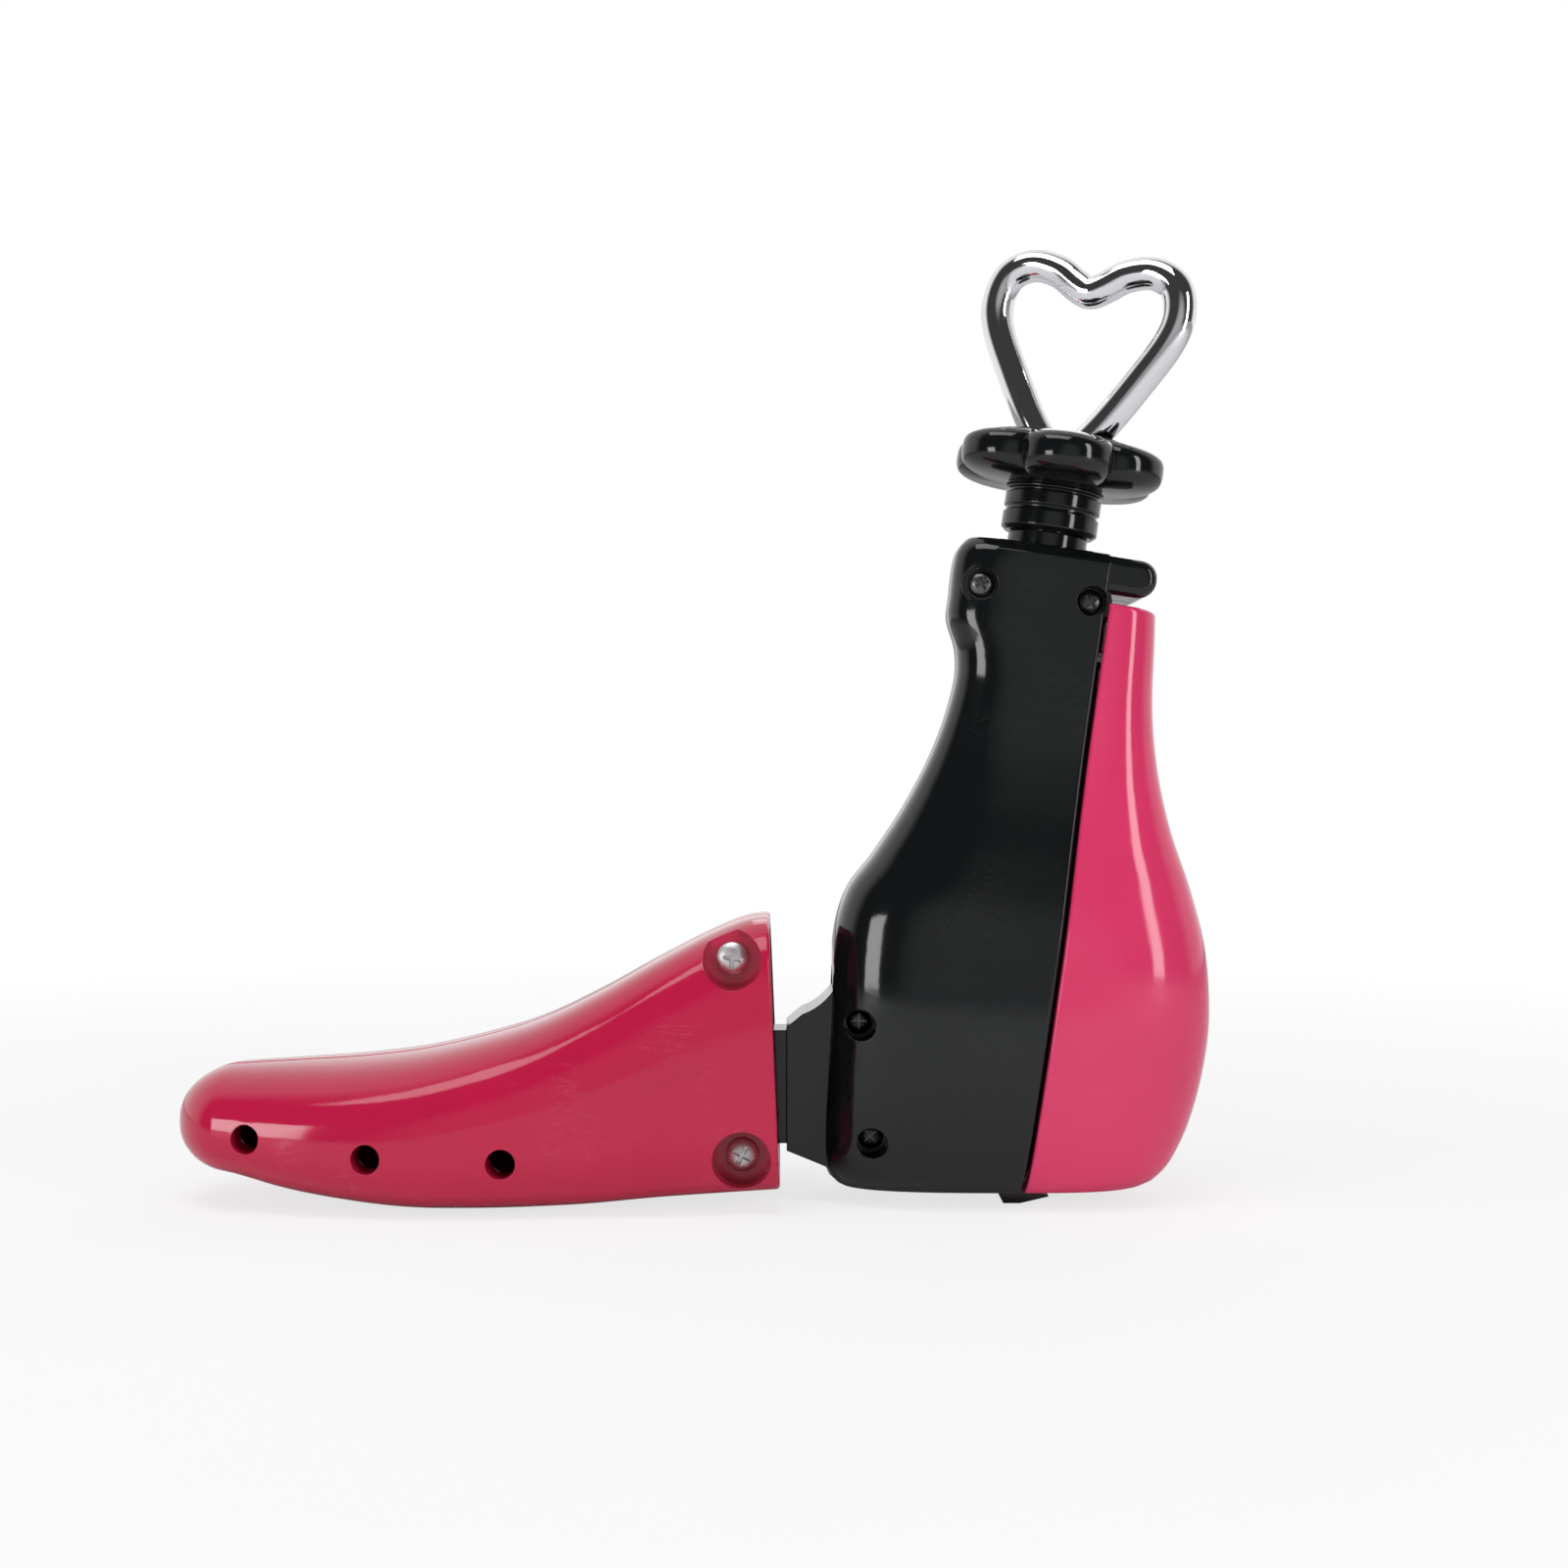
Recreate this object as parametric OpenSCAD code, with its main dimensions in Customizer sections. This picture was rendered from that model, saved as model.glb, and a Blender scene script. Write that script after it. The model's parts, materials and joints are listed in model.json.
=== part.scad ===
// Shoe stretcher: a split toe that opens sideways and a heel block that slides back.
// +Z is up, the toe points along -X and the two toe halves part along Y.

/* [Overall] */
// Length from the tip of the toe to the back of the heel block
total_length = 219; // [205:1:235]
// Backward lean of the body and its spindle, in degrees
lean = 8.5; // [5:0.5:11]

/* [Toe] */
// Gap between the rear face of the toe and the front of the body
toe_gap = 10; // [6:0.2:14]
// Height of the toe at its rear face
toe_height = 60.4; // [58:0.2:66]
// Width of the two closed toe halves at the ball
toe_width = 56; // [54:1:64]
// Wall of the toe halves
toe_wall = 2.4; // [1.8:0.1:3]
// Gap at the split line of the toe
toe_split = 0.5; // [0.3:0.1:1]
// Diameter of the plug holes in the sides of the toe
plug_d = 6; // [4:0.5:7]
// Diameter of the screw recesses of the toe
toe_recess_d = 12; // [10:0.5:12.5]
// Sideways travel of each toe half
toe_travel = 5; // [3:0.5:6]

/* [Body] */
// Height of the body along the spindle above its foot
body_height = 128; // [122:1:134]
// Width of the body and heel at the widest
body_width = 45; // [43:1:50]
// Wall of the body shells
body_wall = 2.2; // [1.8:0.1:2.8]
// Distance from the spindle to the open rear rim of the body
rim_x = 12.8; // [12:0.2:14]
// Diameter of the body screw recesses
body_recess_d = 6.4; // [6:0.1:6.6]

/* [Heel] */
// Distance from the spindle to the back of the heel block
heel_reach = 48.9; // [47:0.5:53]
// Wall of the heel block
heel_wall = 2.5; // [2:0.1:3]
// Backward travel of the heel block
heel_travel = 14; // [8:0.5:14]

/* [Knob and handle] */
// Diameter over the lobes of the star knob
knob_d = 46.4; // [42:0.2:50]
// Thickness of the star knob
knob_t = 11; // [9:0.5:13]
// Number of lobes on the star knob
knob_lobes = 6; // [5:1:8]
// Diameter of the knob's hub
hub_d = 20.6; // [18:0.2:23]
// Diameter of the heart handle's rod
rod_d = 7.2; // [6:0.2:8]
// Width of the heart handle over its rod
heart_w = 48; // [42:0.2:52]
// Height of the heart handle above the star knob
heart_h = 41; // [36:0.5:46]

/* [Drive] */
// Diameter of the spindle
spindle_d = 6; // [5:0.1:6.4]
// Outer diameter of the tubular length screw
tube_d = 10; // [9.6:0.1:10.6]
// Thread pitch of the length screw
length_pitch = 5; // [4:0.5:6]
// Thread pitch of the spindle
width_pitch = 4; // [3:0.5:5]
// Diameter of the push rod
push_d = 7; // [6:0.1:7.4]
// Radial running clearance of shafts in bores
run = 0.05; // [0.02:0.01:0.09]
// Gap between parts that slide past each other
slip = 0.4; // [0.3:0.05:0.6]

/* [Hidden] */
$fn = 48;
eps = 0.01;
big = 300;

black = [0.03, 0.03, 0.035];
crimson = [0.77, 0.12, 0.28];
steel = [0.75, 0.76, 0.78];

tip_x = -total_length / 2;
foot_z = 12;
foot_x = total_length / 2 - heel_reach * cos(lean) - 4.6;
foot_s = -9.3;

// Profile of the toe: place along it, underside, top and half width, as shares of its size
toe_profile = [[0, 0.13, 0.455, 0.60], [0.1, 0.105, 0.47, 0.74], [0.2, 0.055, 0.482, 0.86],
    [0.3, 0.022, 0.495, 0.95], [0.4, 0.002, 0.52, 1], [0.5, 0, 0.566, 1], [0.6, 0.005, 0.63, 0.97],
    [0.7, 0.016, 0.728, 0.93], [0.8, 0.036, 0.841, 0.9], [0.9, 0.051, 0.944, 0.87],
    [0.96, 0.06, 0.99, 0.86], [1, 0.066, 1, 0.85]];
// Front of the body: height and distance before the spindle, as shares of its height
front_profile = [[-0.073, 0.15], [-0.067, 0.188], [-0.047, 0.213], [0, 0.227], [0.156, 0.244],
    [0.312, 0.258], [0.39, 0.247], [0.453, 0.213], [0.547, 0.17], [0.656, 0.135], [0.758, 0.12],
    [0.812, 0.127], [0.859, 0.148], [0.89, 0.15], [0.97, 0.15], [1, 0.133]];
// Back of the heel: height as a share of the body's, reach and half width as shares
heel_profile = [[-0.073, 0.68, 0.58], [-0.066, 0.81, 0.73], [-0.04, 0.884, 0.85], [0, 0.93, 0.925],
    [0.078, 0.974, 0.978], [0.195, 1, 1], [0.276, 0.99, 0.99], [0.38, 0.93, 0.955],
    [0.474, 0.83, 0.85], [0.567, 0.708, 0.73], [0.662, 0.616, 0.64], [0.758, 0.557, 0.6],
    [0.88, 0.52, 0.565], [0.918, 0.508, 0.555], [1, 0.5, 0.55]];

function span_at(tab, t, i = 0) =
    (i >= len(tab) - 2 || t <= tab[i + 1][0]) ? i : span_at(tab, t, i + 1);
function rise(tab, c, a, b) = (tab[b][c] - tab[a][c]) / (tab[b][0] - tab[a][0]);
function slope_at(tab, c, i) = rise(tab, c, max(i - 1, 0), min(i + 1, len(tab) - 1));
// Smooth curve through column c of a profile
function curve(tab, c, t) =
    let (i = span_at(tab, t), h = tab[i + 1][0] - tab[i][0], u = (t - tab[i][0]) / h)
    (2 * u^3 - 3 * u^2 + 1) * tab[i][c] + (u^3 - 2 * u^2 + u) * h * slope_at(tab, c, i)
    + (3 * u^2 - 2 * u^3) * tab[i + 1][c] + (u^3 - u^2) * h * slope_at(tab, c, i + 1);

function sgn_pow(v, e) = sign(v) * pow(abs(v), e);
function clamp(v, lo, hi) = min(max(v, lo), hi);

// A thin shell between two stacks of open rings, closed by caps where cap is true
module shell_skin(outer, inner, corners = [], cap_first = true, cap_last = true) {
    m = len(outer);
    n = len(outer[0]);
    base = m * n;
    k = 2 * base;
    points = concat([for (r = outer) each r], [for (r = inner) each r], corners);
    function quad(a, b, c, d) = [[a, b, c], [a, c, d]];
    function fan(ids) = [for (i = [1 : len(ids) - 2]) [ids[0], ids[i], ids[i + 1]]];
    function flip(faces) = [for (f = faces) [f[2], f[1], f[0]]];
    has_corner = len(corners) > 0;
    function ring_ids(off, i) = [for (j = [0 : n - 1]) off + i * n + j];
    function cap_ids(off, i, c) = concat(has_corner ? [k + c] : [], ring_ids(off, i));
    sheet = [for (i = [0 : m - 2], j = [0 : n - 2])
        each quad(i * n + j, i * n + j + 1, (i + 1) * n + j + 1, (i + 1) * n + j)];
    inner_sheet = [for (f = flip(sheet)) [f[0] + base, f[1] + base, f[2] + base]];
    edges = [for (i = [0 : m - 2]) each concat(
        quad(i * n, (i + 1) * n, base + (i + 1) * n, base + i * n),
        flip(quad(i * n + n - 1, (i + 1) * n + n - 1, base + (i + 1) * n + n - 1,
            base + i * n + n - 1)))];
    function end_cap(i, c) = concat(fan(cap_ids(0, i, c)), flip(fan(cap_ids(base, i, c + 2))));
    function end_edge(i, c) = has_corner
        ? concat(quad(i * n, base + i * n, k + c + 2, k + c),
            quad(k + c, k + c + 2, base + i * n + n - 1, i * n + n - 1))
        : quad(i * n, base + i * n, base + i * n + n - 1, i * n + n - 1);
    function end_rim(i) = [for (j = [0 : n - 2])
        each quad(i * n + j, base + i * n + j, base + i * n + j + 1, i * n + j + 1)];
    first = cap_first ? concat(flip(end_cap(0, 0)), end_edge(0, 0)) : end_rim(0);
    last = cap_last ? concat(end_cap(m - 1, 1), flip(end_edge(m - 1, 1))) : flip(end_rim(m - 1));
    polyhedron(points, flip(concat(sheet, inner_sheet, edges, first, last)), convexity = 8);
}

// A closed solid through a stack of open rings
module solid_skin(rings) {
    m = len(rings);
    n = len(rings[0]);
    function row(i, j) = i * n + (j % n);
    sides = [for (i = [0 : m - 2], j = [0 : n - 1])
        each [[row(i, j), row(i + 1, j + 1), row(i, j + 1)],
            [row(i, j), row(i + 1, j), row(i + 1, j + 1)]]];
    first = [for (j = [1 : n - 2]) [0, j, j + 1]];
    last = [for (j = [1 : n - 2]) [row(m - 1, 0), row(m - 1, j + 1), row(m - 1, j)]];
    polyhedron([for (r = rings) each r], concat(sides, first, last), convexity = 4);
}

// Angles from 0 to 90 degrees, closer together near both ends
function quarter(n) = [for (i = [0 : n]) 45 * (1 - cos(180 * i / n))];

// Place children in the body's leaning frame: origin low on the spindle, z along it
module on_spindle() {
    translate([foot_x, 0, foot_z]) rotate([0, lean, 0]) children();
}
function lean_point(p) = [foot_x + p[0] * cos(lean) + p[1] * sin(lean),
    foot_z - p[0] * sin(lean) + p[1] * cos(lean)];

// Toe halves
body_front_x = lean_point([-front_x(0.15 * body_height), 0.15 * body_height])[0];
toe_rear_x = body_front_x - toe_gap;
toe_length = toe_rear_x - tip_x;
toe_rings = 30;
nose_share = 0.09;
rear_slant = 2.5;
function nose(t) = sqrt(1 - pow(1 - min(t / nose_share, 1), 2));
function toe_mid(t) = (curve(toe_profile, 1, t) + curve(toe_profile, 2, t)) / 2 * toe_height;
function toe_half_h(t) = (curve(toe_profile, 2, t) - curve(toe_profile, 1, t)) / 2 * toe_height;
function toe_half_w(t) = curve(toe_profile, 3, t) * toe_width / 2;
function square_exp(t) = 0.8 - 0.42 * t;
function toe_ring(t, inset, x_shift) =
    let (f = max(nose(t), 0.12), w = max(toe_half_w(t) * f - inset, 0.5),
        h = max(toe_half_h(t) * f - inset, 0.5), e = square_exp(t))
    [for (a = concat([for (q = quarter(9)) 90 - q], [for (q = quarter(9)) if (q > 0) -q]))
        let (z = toe_mid(t) + h * sgn_pow(sin(a), e),
            x = tip_x + t * toe_length + x_shift * (1 - t) - rear_slant * (z / toe_height) * pow(t, 4))
        [x, -max(w * pow(max(cos(a), 0), e) * (1 - 0.12 * sin(a)), 0) - toe_split / 2, z]];
// Distance from the split plane to the toe's side face at a place on it
function toe_face(x, z) =
    let (t = clamp((x - tip_x) / toe_length, 0, 1), e = square_exp(t), f = nose(t),
        s = clamp((z - toe_mid(t)) / (toe_half_h(t) * f), -1, 1), sn = sgn_pow(s, 1 / e))
    toe_half_w(t) * f * pow(sqrt(max(1 - sn * sn, 0)), e) * (1 - 0.12 * sn);
function toe_seat(p, r) =
    min([for (a = [0 : 30 : 330]) toe_face(p[0] + r * cos(a), p[1] + r * sin(a))]);

plug_places = [[tip_x + 18.6, 15.6], [tip_x + 44.2, 12.4], [tip_x + 71.5, 11.5]];
plug_boss_wall = 1.6;
plug_boss_depth = 7;
toe_screw_places = [[toe_rear_x - 10, toe_height * 0.862], [toe_rear_x - 8, toe_height * 0.19]];
toe_floor_y = 15.5;
toe_floor_t = 2.2;
recess_wall = 1.6;
block_outer_y = 9;
screw_shank_d = 3;
screw_head_d = 6.2;
screw_head_h = 2.2;

module along_y(p, y0, y1) {
    translate([p[0], max(y0, y1), p[1]]) rotate([90, 0, 0]) linear_extrude(abs(y1 - y0)) children();
}

module toe_half() {
    stations = [for (i = [0 : toe_rings]) pow(i / toe_rings, 1.35)];
    outer = [for (t = stations) toe_ring(t, 0, 0)];
    inner = [for (t = stations) toe_ring(t, toe_wall, toe_wall * 1.4)];
    rear = [for (i = [0 : toe_rings]) if (stations[i] > 0.78) outer[i]];
    difference() {
        union() {
            shell_skin(outer, inner, cap_last = false);
            for (p = plug_places) {
                seat = toe_seat(p, plug_d / 2 + plug_boss_wall) - toe_wall / 2;
                along_y(p, -seat, -seat + plug_boss_depth) circle(d = plug_d + 2 * plug_boss_wall);
            }
            intersection() {
                solid_skin(rear);
                for (p = toe_screw_places)
                    along_y(p, -toe_width, -toe_floor_y + toe_floor_t)
                        circle(d = toe_recess_d + 2 * recess_wall);
            }
        }
        for (p = plug_places) along_y(p, -toe_width, -toe_split) circle(d = plug_d);
        for (p = toe_screw_places) {
            along_y(p, -toe_width, -toe_floor_y) circle(d = toe_recess_d);
            along_y(p, -toe_width, 0) circle(d = screw_shank_d + 2 * run);
        }
    }
}

module toe_half_near() { color(crimson) toe_half(); }
module toe_half_far() { color(crimson) mirror([0, 1, 0]) toe_half(); }

// A Phillips pan-head screw along +z, head top at the origin
module pan_screw(head_d, head_h, shank_d, length) {
    difference() {
        union() {
            translate([0, 0, -head_h]) cylinder(d1 = head_d, d2 = head_d * 0.82, h = head_h);
            translate([0, 0, -head_h - length]) cylinder(d = shank_d, h = length + eps);
        }
        for (a = [0, 90]) rotate(a)
            translate([-head_d * 0.3, -head_d * 0.06, -head_h * 0.55])
                cube([head_d * 0.6, head_d * 0.12, head_h]);
    }
}

screw_len = toe_floor_y - block_outer_y + 1.5;
module toe_screws() {
    for (p = toe_screw_places) translate([p[0], -toe_floor_y - screw_head_h, p[1]])
        rotate([90, 0, 0]) pan_screw(screw_head_d, screw_head_h, screw_shank_d, screw_len);
}
module toe_screws_near() { color(steel) toe_screws(); }
module toe_screws_far() { color(steel) mirror([0, 1, 0]) toe_screws(); }

// Spreader: a wedge on the push rod parts two ramp blocks
push_z = 28;
push_travel = 10;
spread_slope = toe_travel / push_travel;
wedge_rear_x = toe_rear_x - 26;
wedge_len = 16;
wedge_nose_y = 1.2;
wedge_h = 11;
tongue_y = 5.6;
pin_d = 4;
pin_x = toe_rear_x - 19.5;
pin_zs = [18, 41];
block_inner_y = tongue_y + slip;
block_front_x = wedge_rear_x - wedge_len - push_travel;
spring_d = 7;
wire_d = 0.8;
spring_turns = 4;
clip_y = toe_width / 2 - 9.4;
clip_t = 1.2;

function wedge_y(x) = wedge_nose_y + (x - (wedge_rear_x - wedge_len)) * spread_slope;

module ramp_block() {
    knee_x = wedge_rear_x - wedge_len;
    outline = [[toe_rear_x - 4, -block_inner_y], [wedge_rear_x, -block_inner_y],
        [wedge_rear_x, -wedge_y(wedge_rear_x) - run], [knee_x, -wedge_y(knee_x) - run],
        [block_front_x, -wedge_y(knee_x) - run], [block_front_x, -block_outer_y - 2],
        [wedge_rear_x, -block_outer_y - 4], [wedge_rear_x + 5, -block_outer_y],
        [toe_rear_x - 4, -block_outer_y]];
    difference() {
        union() {
            translate([0, 0, push_z - 8]) linear_extrude(13.5) polygon(outline);
            for (p = toe_screw_places) {
                z0 = min(p[1] - 2, push_z);
                z1 = max(p[1] + 2, push_z);
                translate([p[0] - 3, -block_outer_y, z0])
                    cube([7, block_outer_y - block_inner_y, z1 - z0]);
                along_y(p, -toe_floor_y + toe_floor_t, -block_outer_y + 1) circle(d = 6);
            }
            translate([pin_x - 4.5, -block_outer_y, pin_zs[0] - 4.5])
                cube([9, block_outer_y - block_inner_y, pin_zs[1] - pin_zs[0] + 9]);
        }
        for (p = toe_screw_places) along_y(p, -toe_width, 0) circle(d = screw_shank_d);
        for (z = pin_zs) along_y([pin_x, z], -toe_width, 0) circle(d = pin_d + 2 * run);
    }
}
module ramp_block_near() { color(black) ramp_block(); }
module ramp_block_far() { color(black) mirror([0, 1, 0]) ramp_block(); }

module spreader_wedge() {
    x0 = wedge_rear_x - wedge_len;
    color(black) difference() {
        translate([0, 0, push_z - wedge_h / 2]) linear_extrude(wedge_h)
            polygon([[x0, -wedge_y(x0)], [wedge_rear_x, -wedge_y(wedge_rear_x)],
                [wedge_rear_x, wedge_y(wedge_rear_x)], [x0, wedge_y(x0)]]);
        translate([wedge_rear_x - 8, 0, push_z]) rotate([0, 90, 0]) cylinder(d = push_d - 2, h = 9);
    }
}

// Helical coil along y between two planes
module coil(y0, y1, turns, r, wire, sides = 6, steps = 10) {
    total = turns * steps;
    ring = function(i) let (a = 360 * i / steps, y = y0 + (y1 - y0) * i / total)
        [for (k = [0 : sides - 1]) let (b = 360 * k / sides, q = r + wire / 2 * cos(b))
            [q * cos(a), y + wire / 2 * sin(b), q * sin(a)]];
    points = [for (i = [0 : total]) each ring(i)];
    function id(i, k) = i * sides + (k % sides);
    last = total * sides;
    faces = concat(
        [for (i = [0 : total - 1], k = [0 : sides - 1])
            each [[id(i, k), id(i + 1, k + 1), id(i, k + 1)],
                [id(i, k), id(i + 1, k), id(i + 1, k + 1)]]],
        [for (k = [1 : sides - 2]) [0, k, k + 1]],
        [for (k = [1 : sides - 2]) [last, last + k + 1, last + k]]);
    polyhedron(points, faces, convexity = 6);
}
module toe_springs() {
    y_in = block_outer_y + wire_d / 2 + 0.05;
    y_out = clip_y - wire_d / 2 - 0.05;
    for (z = pin_zs) translate([pin_x, 0, z])
        mirror([0, 1, 0]) coil(y_in, y_out, spring_turns, (spring_d - wire_d) / 2, wire_d);
}
module toe_springs_near() { color(steel) toe_springs(); }
module toe_springs_far() { color(steel) mirror([0, 1, 0]) toe_springs(); }

module toe_guide_pins() {
    color(steel) for (z = pin_zs)
        along_y([pin_x, z], -clip_y - clip_t, clip_y + clip_t) circle(d = pin_d);
}
module pin_clips() {
    color(steel) for (z = pin_zs, s = [0, 1]) mirror([0, s, 0])
        along_y([pin_x, z], -clip_y - clip_t, -clip_y) difference() {
            circle(d = spring_d + 1);
            circle(d = pin_d);
        }
}

// Bracket that carries the toe: a gusset, a tongue inside the toe and a bore for the push rod
gusset_t = 18;
flange_x0 = toe_rear_x + 1.2;
module toe_bracket() {
    color(black) difference() {
        union() {
            across(gusset_t / 2) difference() {
                polygon([[flange_x0, 11], [flange_x0, 37], [flange_x0 + 6, 42], [body_front_x + 1, 54],
                    [body_front_x + 1, 7]]);
                translate([flange_x0 - 1, 52]) circle(r = 13);
            }
            translate([body_front_x - 1, -gusset_t / 2 + 2, 8]) cube([insert_x + 1, gusset_t - 4, 34]);
            translate([pin_x - 6, -tongue_y, 12]) cube([flange_x0 - pin_x + 6 + eps, 2 * tongue_y, 24]);
            translate([pin_x - 6, -tongue_y, 12]) cube([12, 2 * tongue_y, 35]);
        }
        translate([-big / 2, 0, push_z]) rotate([0, 90, 0]) cylinder(d = push_d + 2 * run, h = big);
        for (z = pin_zs) along_y([pin_x, z], -toe_width, toe_width) circle(d = pin_d);
    }
}

// Push rod and the wedge nut that drives it
width_slope = 0.7;
nut_front = 7;
nut_s0 = 18;
nut_h = 24;
function nut_face(s) = -(nut_front + width_slope * (s - nut_s0));

module push_rod() {
    color(steel) difference() {
        union() {
            translate([wedge_rear_x, 0, push_z]) rotate([0, 90, 0])
                cylinder(d = push_d, h = foot_x - wedge_rear_x);
            translate([wedge_rear_x - 8, 0, push_z]) rotate([0, 90, 0])
                cylinder(d = push_d - 2, h = 8 + eps);
        }
        on_spindle() across(push_d)
            polygon([[nut_face(-20) - run, -20], [nut_face(60) - run, 60], [60, 60], [60, -20]]);
    }
}

nut_y = 5.5;
module width_wedge() {
    color(steel) on_spindle() difference() {
        across(nut_y)
            polygon([[nut_face(nut_s0 - 4), nut_s0 - 4],
                [nut_face(nut_s0 + nut_h - 8), nut_s0 + nut_h - 8], [6, nut_s0 + nut_h - 8],
                [6, nut_s0 - 4]]);
        cylinder(d = spindle_d + 2 * run, h = big);
    }
}

// Rings cut round a shaft in place of its thread
module thread_grooves(shaft_d, pitch, from, to) {
    for (s = [from : pitch : to]) translate([0, 0, s]) rotate_extrude()
        translate([shaft_d / 2, 0]) polygon([[-0.6, 0], [1, -1.1], [1, 1.1]]);
}

spindle_foot = -5.3;
module spindle() {
    color(steel) on_spindle() difference() {
        translate([0, 0, spindle_foot]) cylinder(d = spindle_d, h = heart_base - spindle_foot);
        thread_grooves(spindle_d, width_pitch, 2, nut_s0 + nut_h);
    }
}

// Ring-shaped stack for turned parts on the spindle: each row is height from, height to, diameter
module turned(rows, bore) {
    difference() {
        union() { for (r = rows) translate([0, 0, r[0]]) cylinder(d = r[2], h = r[1] - r[0]); }
        translate([0, 0, rows[0][0] - big / 4]) cylinder(d = bore, h = big);
    }
}

hub_s = body_height + 3;
hub_h = 9.5;
bush_d = 17;
flange_d = 20;
module knob_bush() {
    color("dimgray") on_spindle()
        turned([[body_height - body_wall - 2.4, body_height - body_wall - 0.2, flange_d],
            [body_height - body_wall - 0.2 - eps, hub_s - 0.2, bush_d]], tube_d + 2 * run);
}
module length_screw() {
    tube_low = heel_nut_s - 2;
    color(steel) on_spindle() difference() {
        translate([0, 0, tube_low]) cylinder(d = tube_d, h = hub_s + hub_h - tube_low);
        translate([0, 0, tube_low - 1]) cylinder(d = spindle_d + 2 * run, h = big);
        thread_grooves(tube_d, length_pitch, tube_low + 3, guide_high_s - 3);
    }
}
module knob_clip() {
    color(steel) on_spindle() turned([[body_height - body_wall - 4, body_height - body_wall - 2.6,
        tube_d + 5]], tube_d);
}
module knob_hub() {
    color(black) on_spindle() turned([[hub_s, hub_s + hub_h - 1.2, hub_d],
        [hub_s + hub_h - 1.2 - eps, hub_s + hub_h - 0.5, hub_d - 1.6],
        [hub_s + hub_h - 0.5 - eps, hub_s + hub_h, hub_d + 0.4]], tube_d);
}
star_s = hub_s + hub_h;
cup_d = 27;
// Radius of the star knob at an angle, for a level between -1 at its foot and 1 at its top
function star_r(a, v) = (knob_d / 2 - 2.6 * (1 - pow(abs(cos(knob_lobes * a / 2 + 90)), 0.8)) * 1.7)
    * pow(1 - pow(abs(v), 3.2), 0.28);
module star_knob() {
    sides = knob_lobes * 12;
    levels = [-0.97, -0.85, -0.6, -0.2, 0.2, 0.6, 0.85, 0.97];
    rings = [for (v = levels) [for (k = [0 : sides - 1]) let (a = 360 * k / sides, r = star_r(a, v))
        [r * cos(a), r * sin(a), star_s + knob_t / 2 * (1 + v / 0.97)]]];
    m = len(levels);
    faces = concat(
        [for (i = [0 : m - 2], k = [0 : sides - 1]) let (n = (k + 1) % sides)
            each [[i * sides + k, (i + 1) * sides + k, i * sides + n],
                [i * sides + n, (i + 1) * sides + k, (i + 1) * sides + n]]],
        [[for (k = [0 : sides - 1]) k]],
        [[for (k = [0 : sides - 1]) m * sides - 1 - k]]);
    color(black) on_spindle() difference() {
        polyhedron([for (r = rings) each r], faces, convexity = 6);
        translate([0, 0, star_s - 1]) cylinder(d = spindle_d + 2 * run, h = knob_t + 2);
        translate([0, 0, star_s + cup_floor]) cylinder(d1 = cup_d - 2, d2 = cup_d, h = knob_t);
    }
}

// Heart handle: a closed rod swept along half a heart and its mirror image
heart_turn = -25;
heart_tilt = 2;
cup_floor = 2.4;
ferrule_h = 4.5;
heart_base = star_s + cup_floor + 0.4 + rod_d / 2;
heart_top = star_s + knob_t + heart_h - rod_d / 2;
heart_half = [[0, 0], [0.127, 0.043], [0.407, 0.213], [0.71, 0.452], [0.94, 0.657], [1, 0.802],
    [0.912, 0.937], [0.66, 1], [0.37, 0.976], [0.157, 0.913], [0, 0.88]];
heart_last = len(heart_half) - 1;
heart_loop = concat([for (i = [0 : heart_last]) heart_half[i]],
    [for (i = [heart_last - 1 : -1 : 1]) [-heart_half[i][0], heart_half[i][1]]]);
heart_steps = 4;
function heart_pick(i) = heart_loop[(i + len(heart_loop)) % len(heart_loop)];
function heart_at(i, u) =
    let (a = heart_pick(i - 1), b = heart_pick(i), c = heart_pick(i + 1), d = heart_pick(i + 2),
    p = b + (c - a) * u / 2 + (2 * a - 5 * b + 4 * c - d) * u^2 / 2 + (3 * b - a - 3 * c + d) * u^3 / 2)
    [p[0] * (heart_w / 2 - rod_d / 2), p[1] * (heart_top - heart_base)];
module heart_handle() {
    sides = 14;
    path = [for (i = [0 : len(heart_loop) - 1], u = [0 : heart_steps - 1])
        heart_at(i, u / heart_steps)];
    m = len(path);
    rings = [for (i = [0 : m - 1])
        let (d = path[(i + 1) % m] - path[(i + m - 1) % m], n = [d[1], -d[0]] / norm(d) * rod_d / 2)
        [for (k = [0 : sides - 1]) let (b = 360 * k / sides)
            [path[i][0] + cos(b) * n[0], rod_d / 2 * sin(b), path[i][1] + cos(b) * n[1]]]];
    function id(i, k) = (i % m) * sides + (k % sides);
    faces = [for (i = [0 : m - 1], k = [0 : sides - 1])
        each [[id(i, k), id(i + 1, k + 1), id(i, k + 1)],
            [id(i, k), id(i + 1, k), id(i + 1, k + 1)]]];
    color(steel) on_spindle() translate([0, 0, heart_base]) rotate([0, heart_tilt, heart_turn])
        polyhedron([for (r = rings) each r], faces, convexity = 6);
}
module handle_ferrule() {
    color(steel) on_spindle()
        turned([[star_s + cup_floor + 0.2, star_s + cup_floor + ferrule_h, 11]], spindle_d);
}

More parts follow.
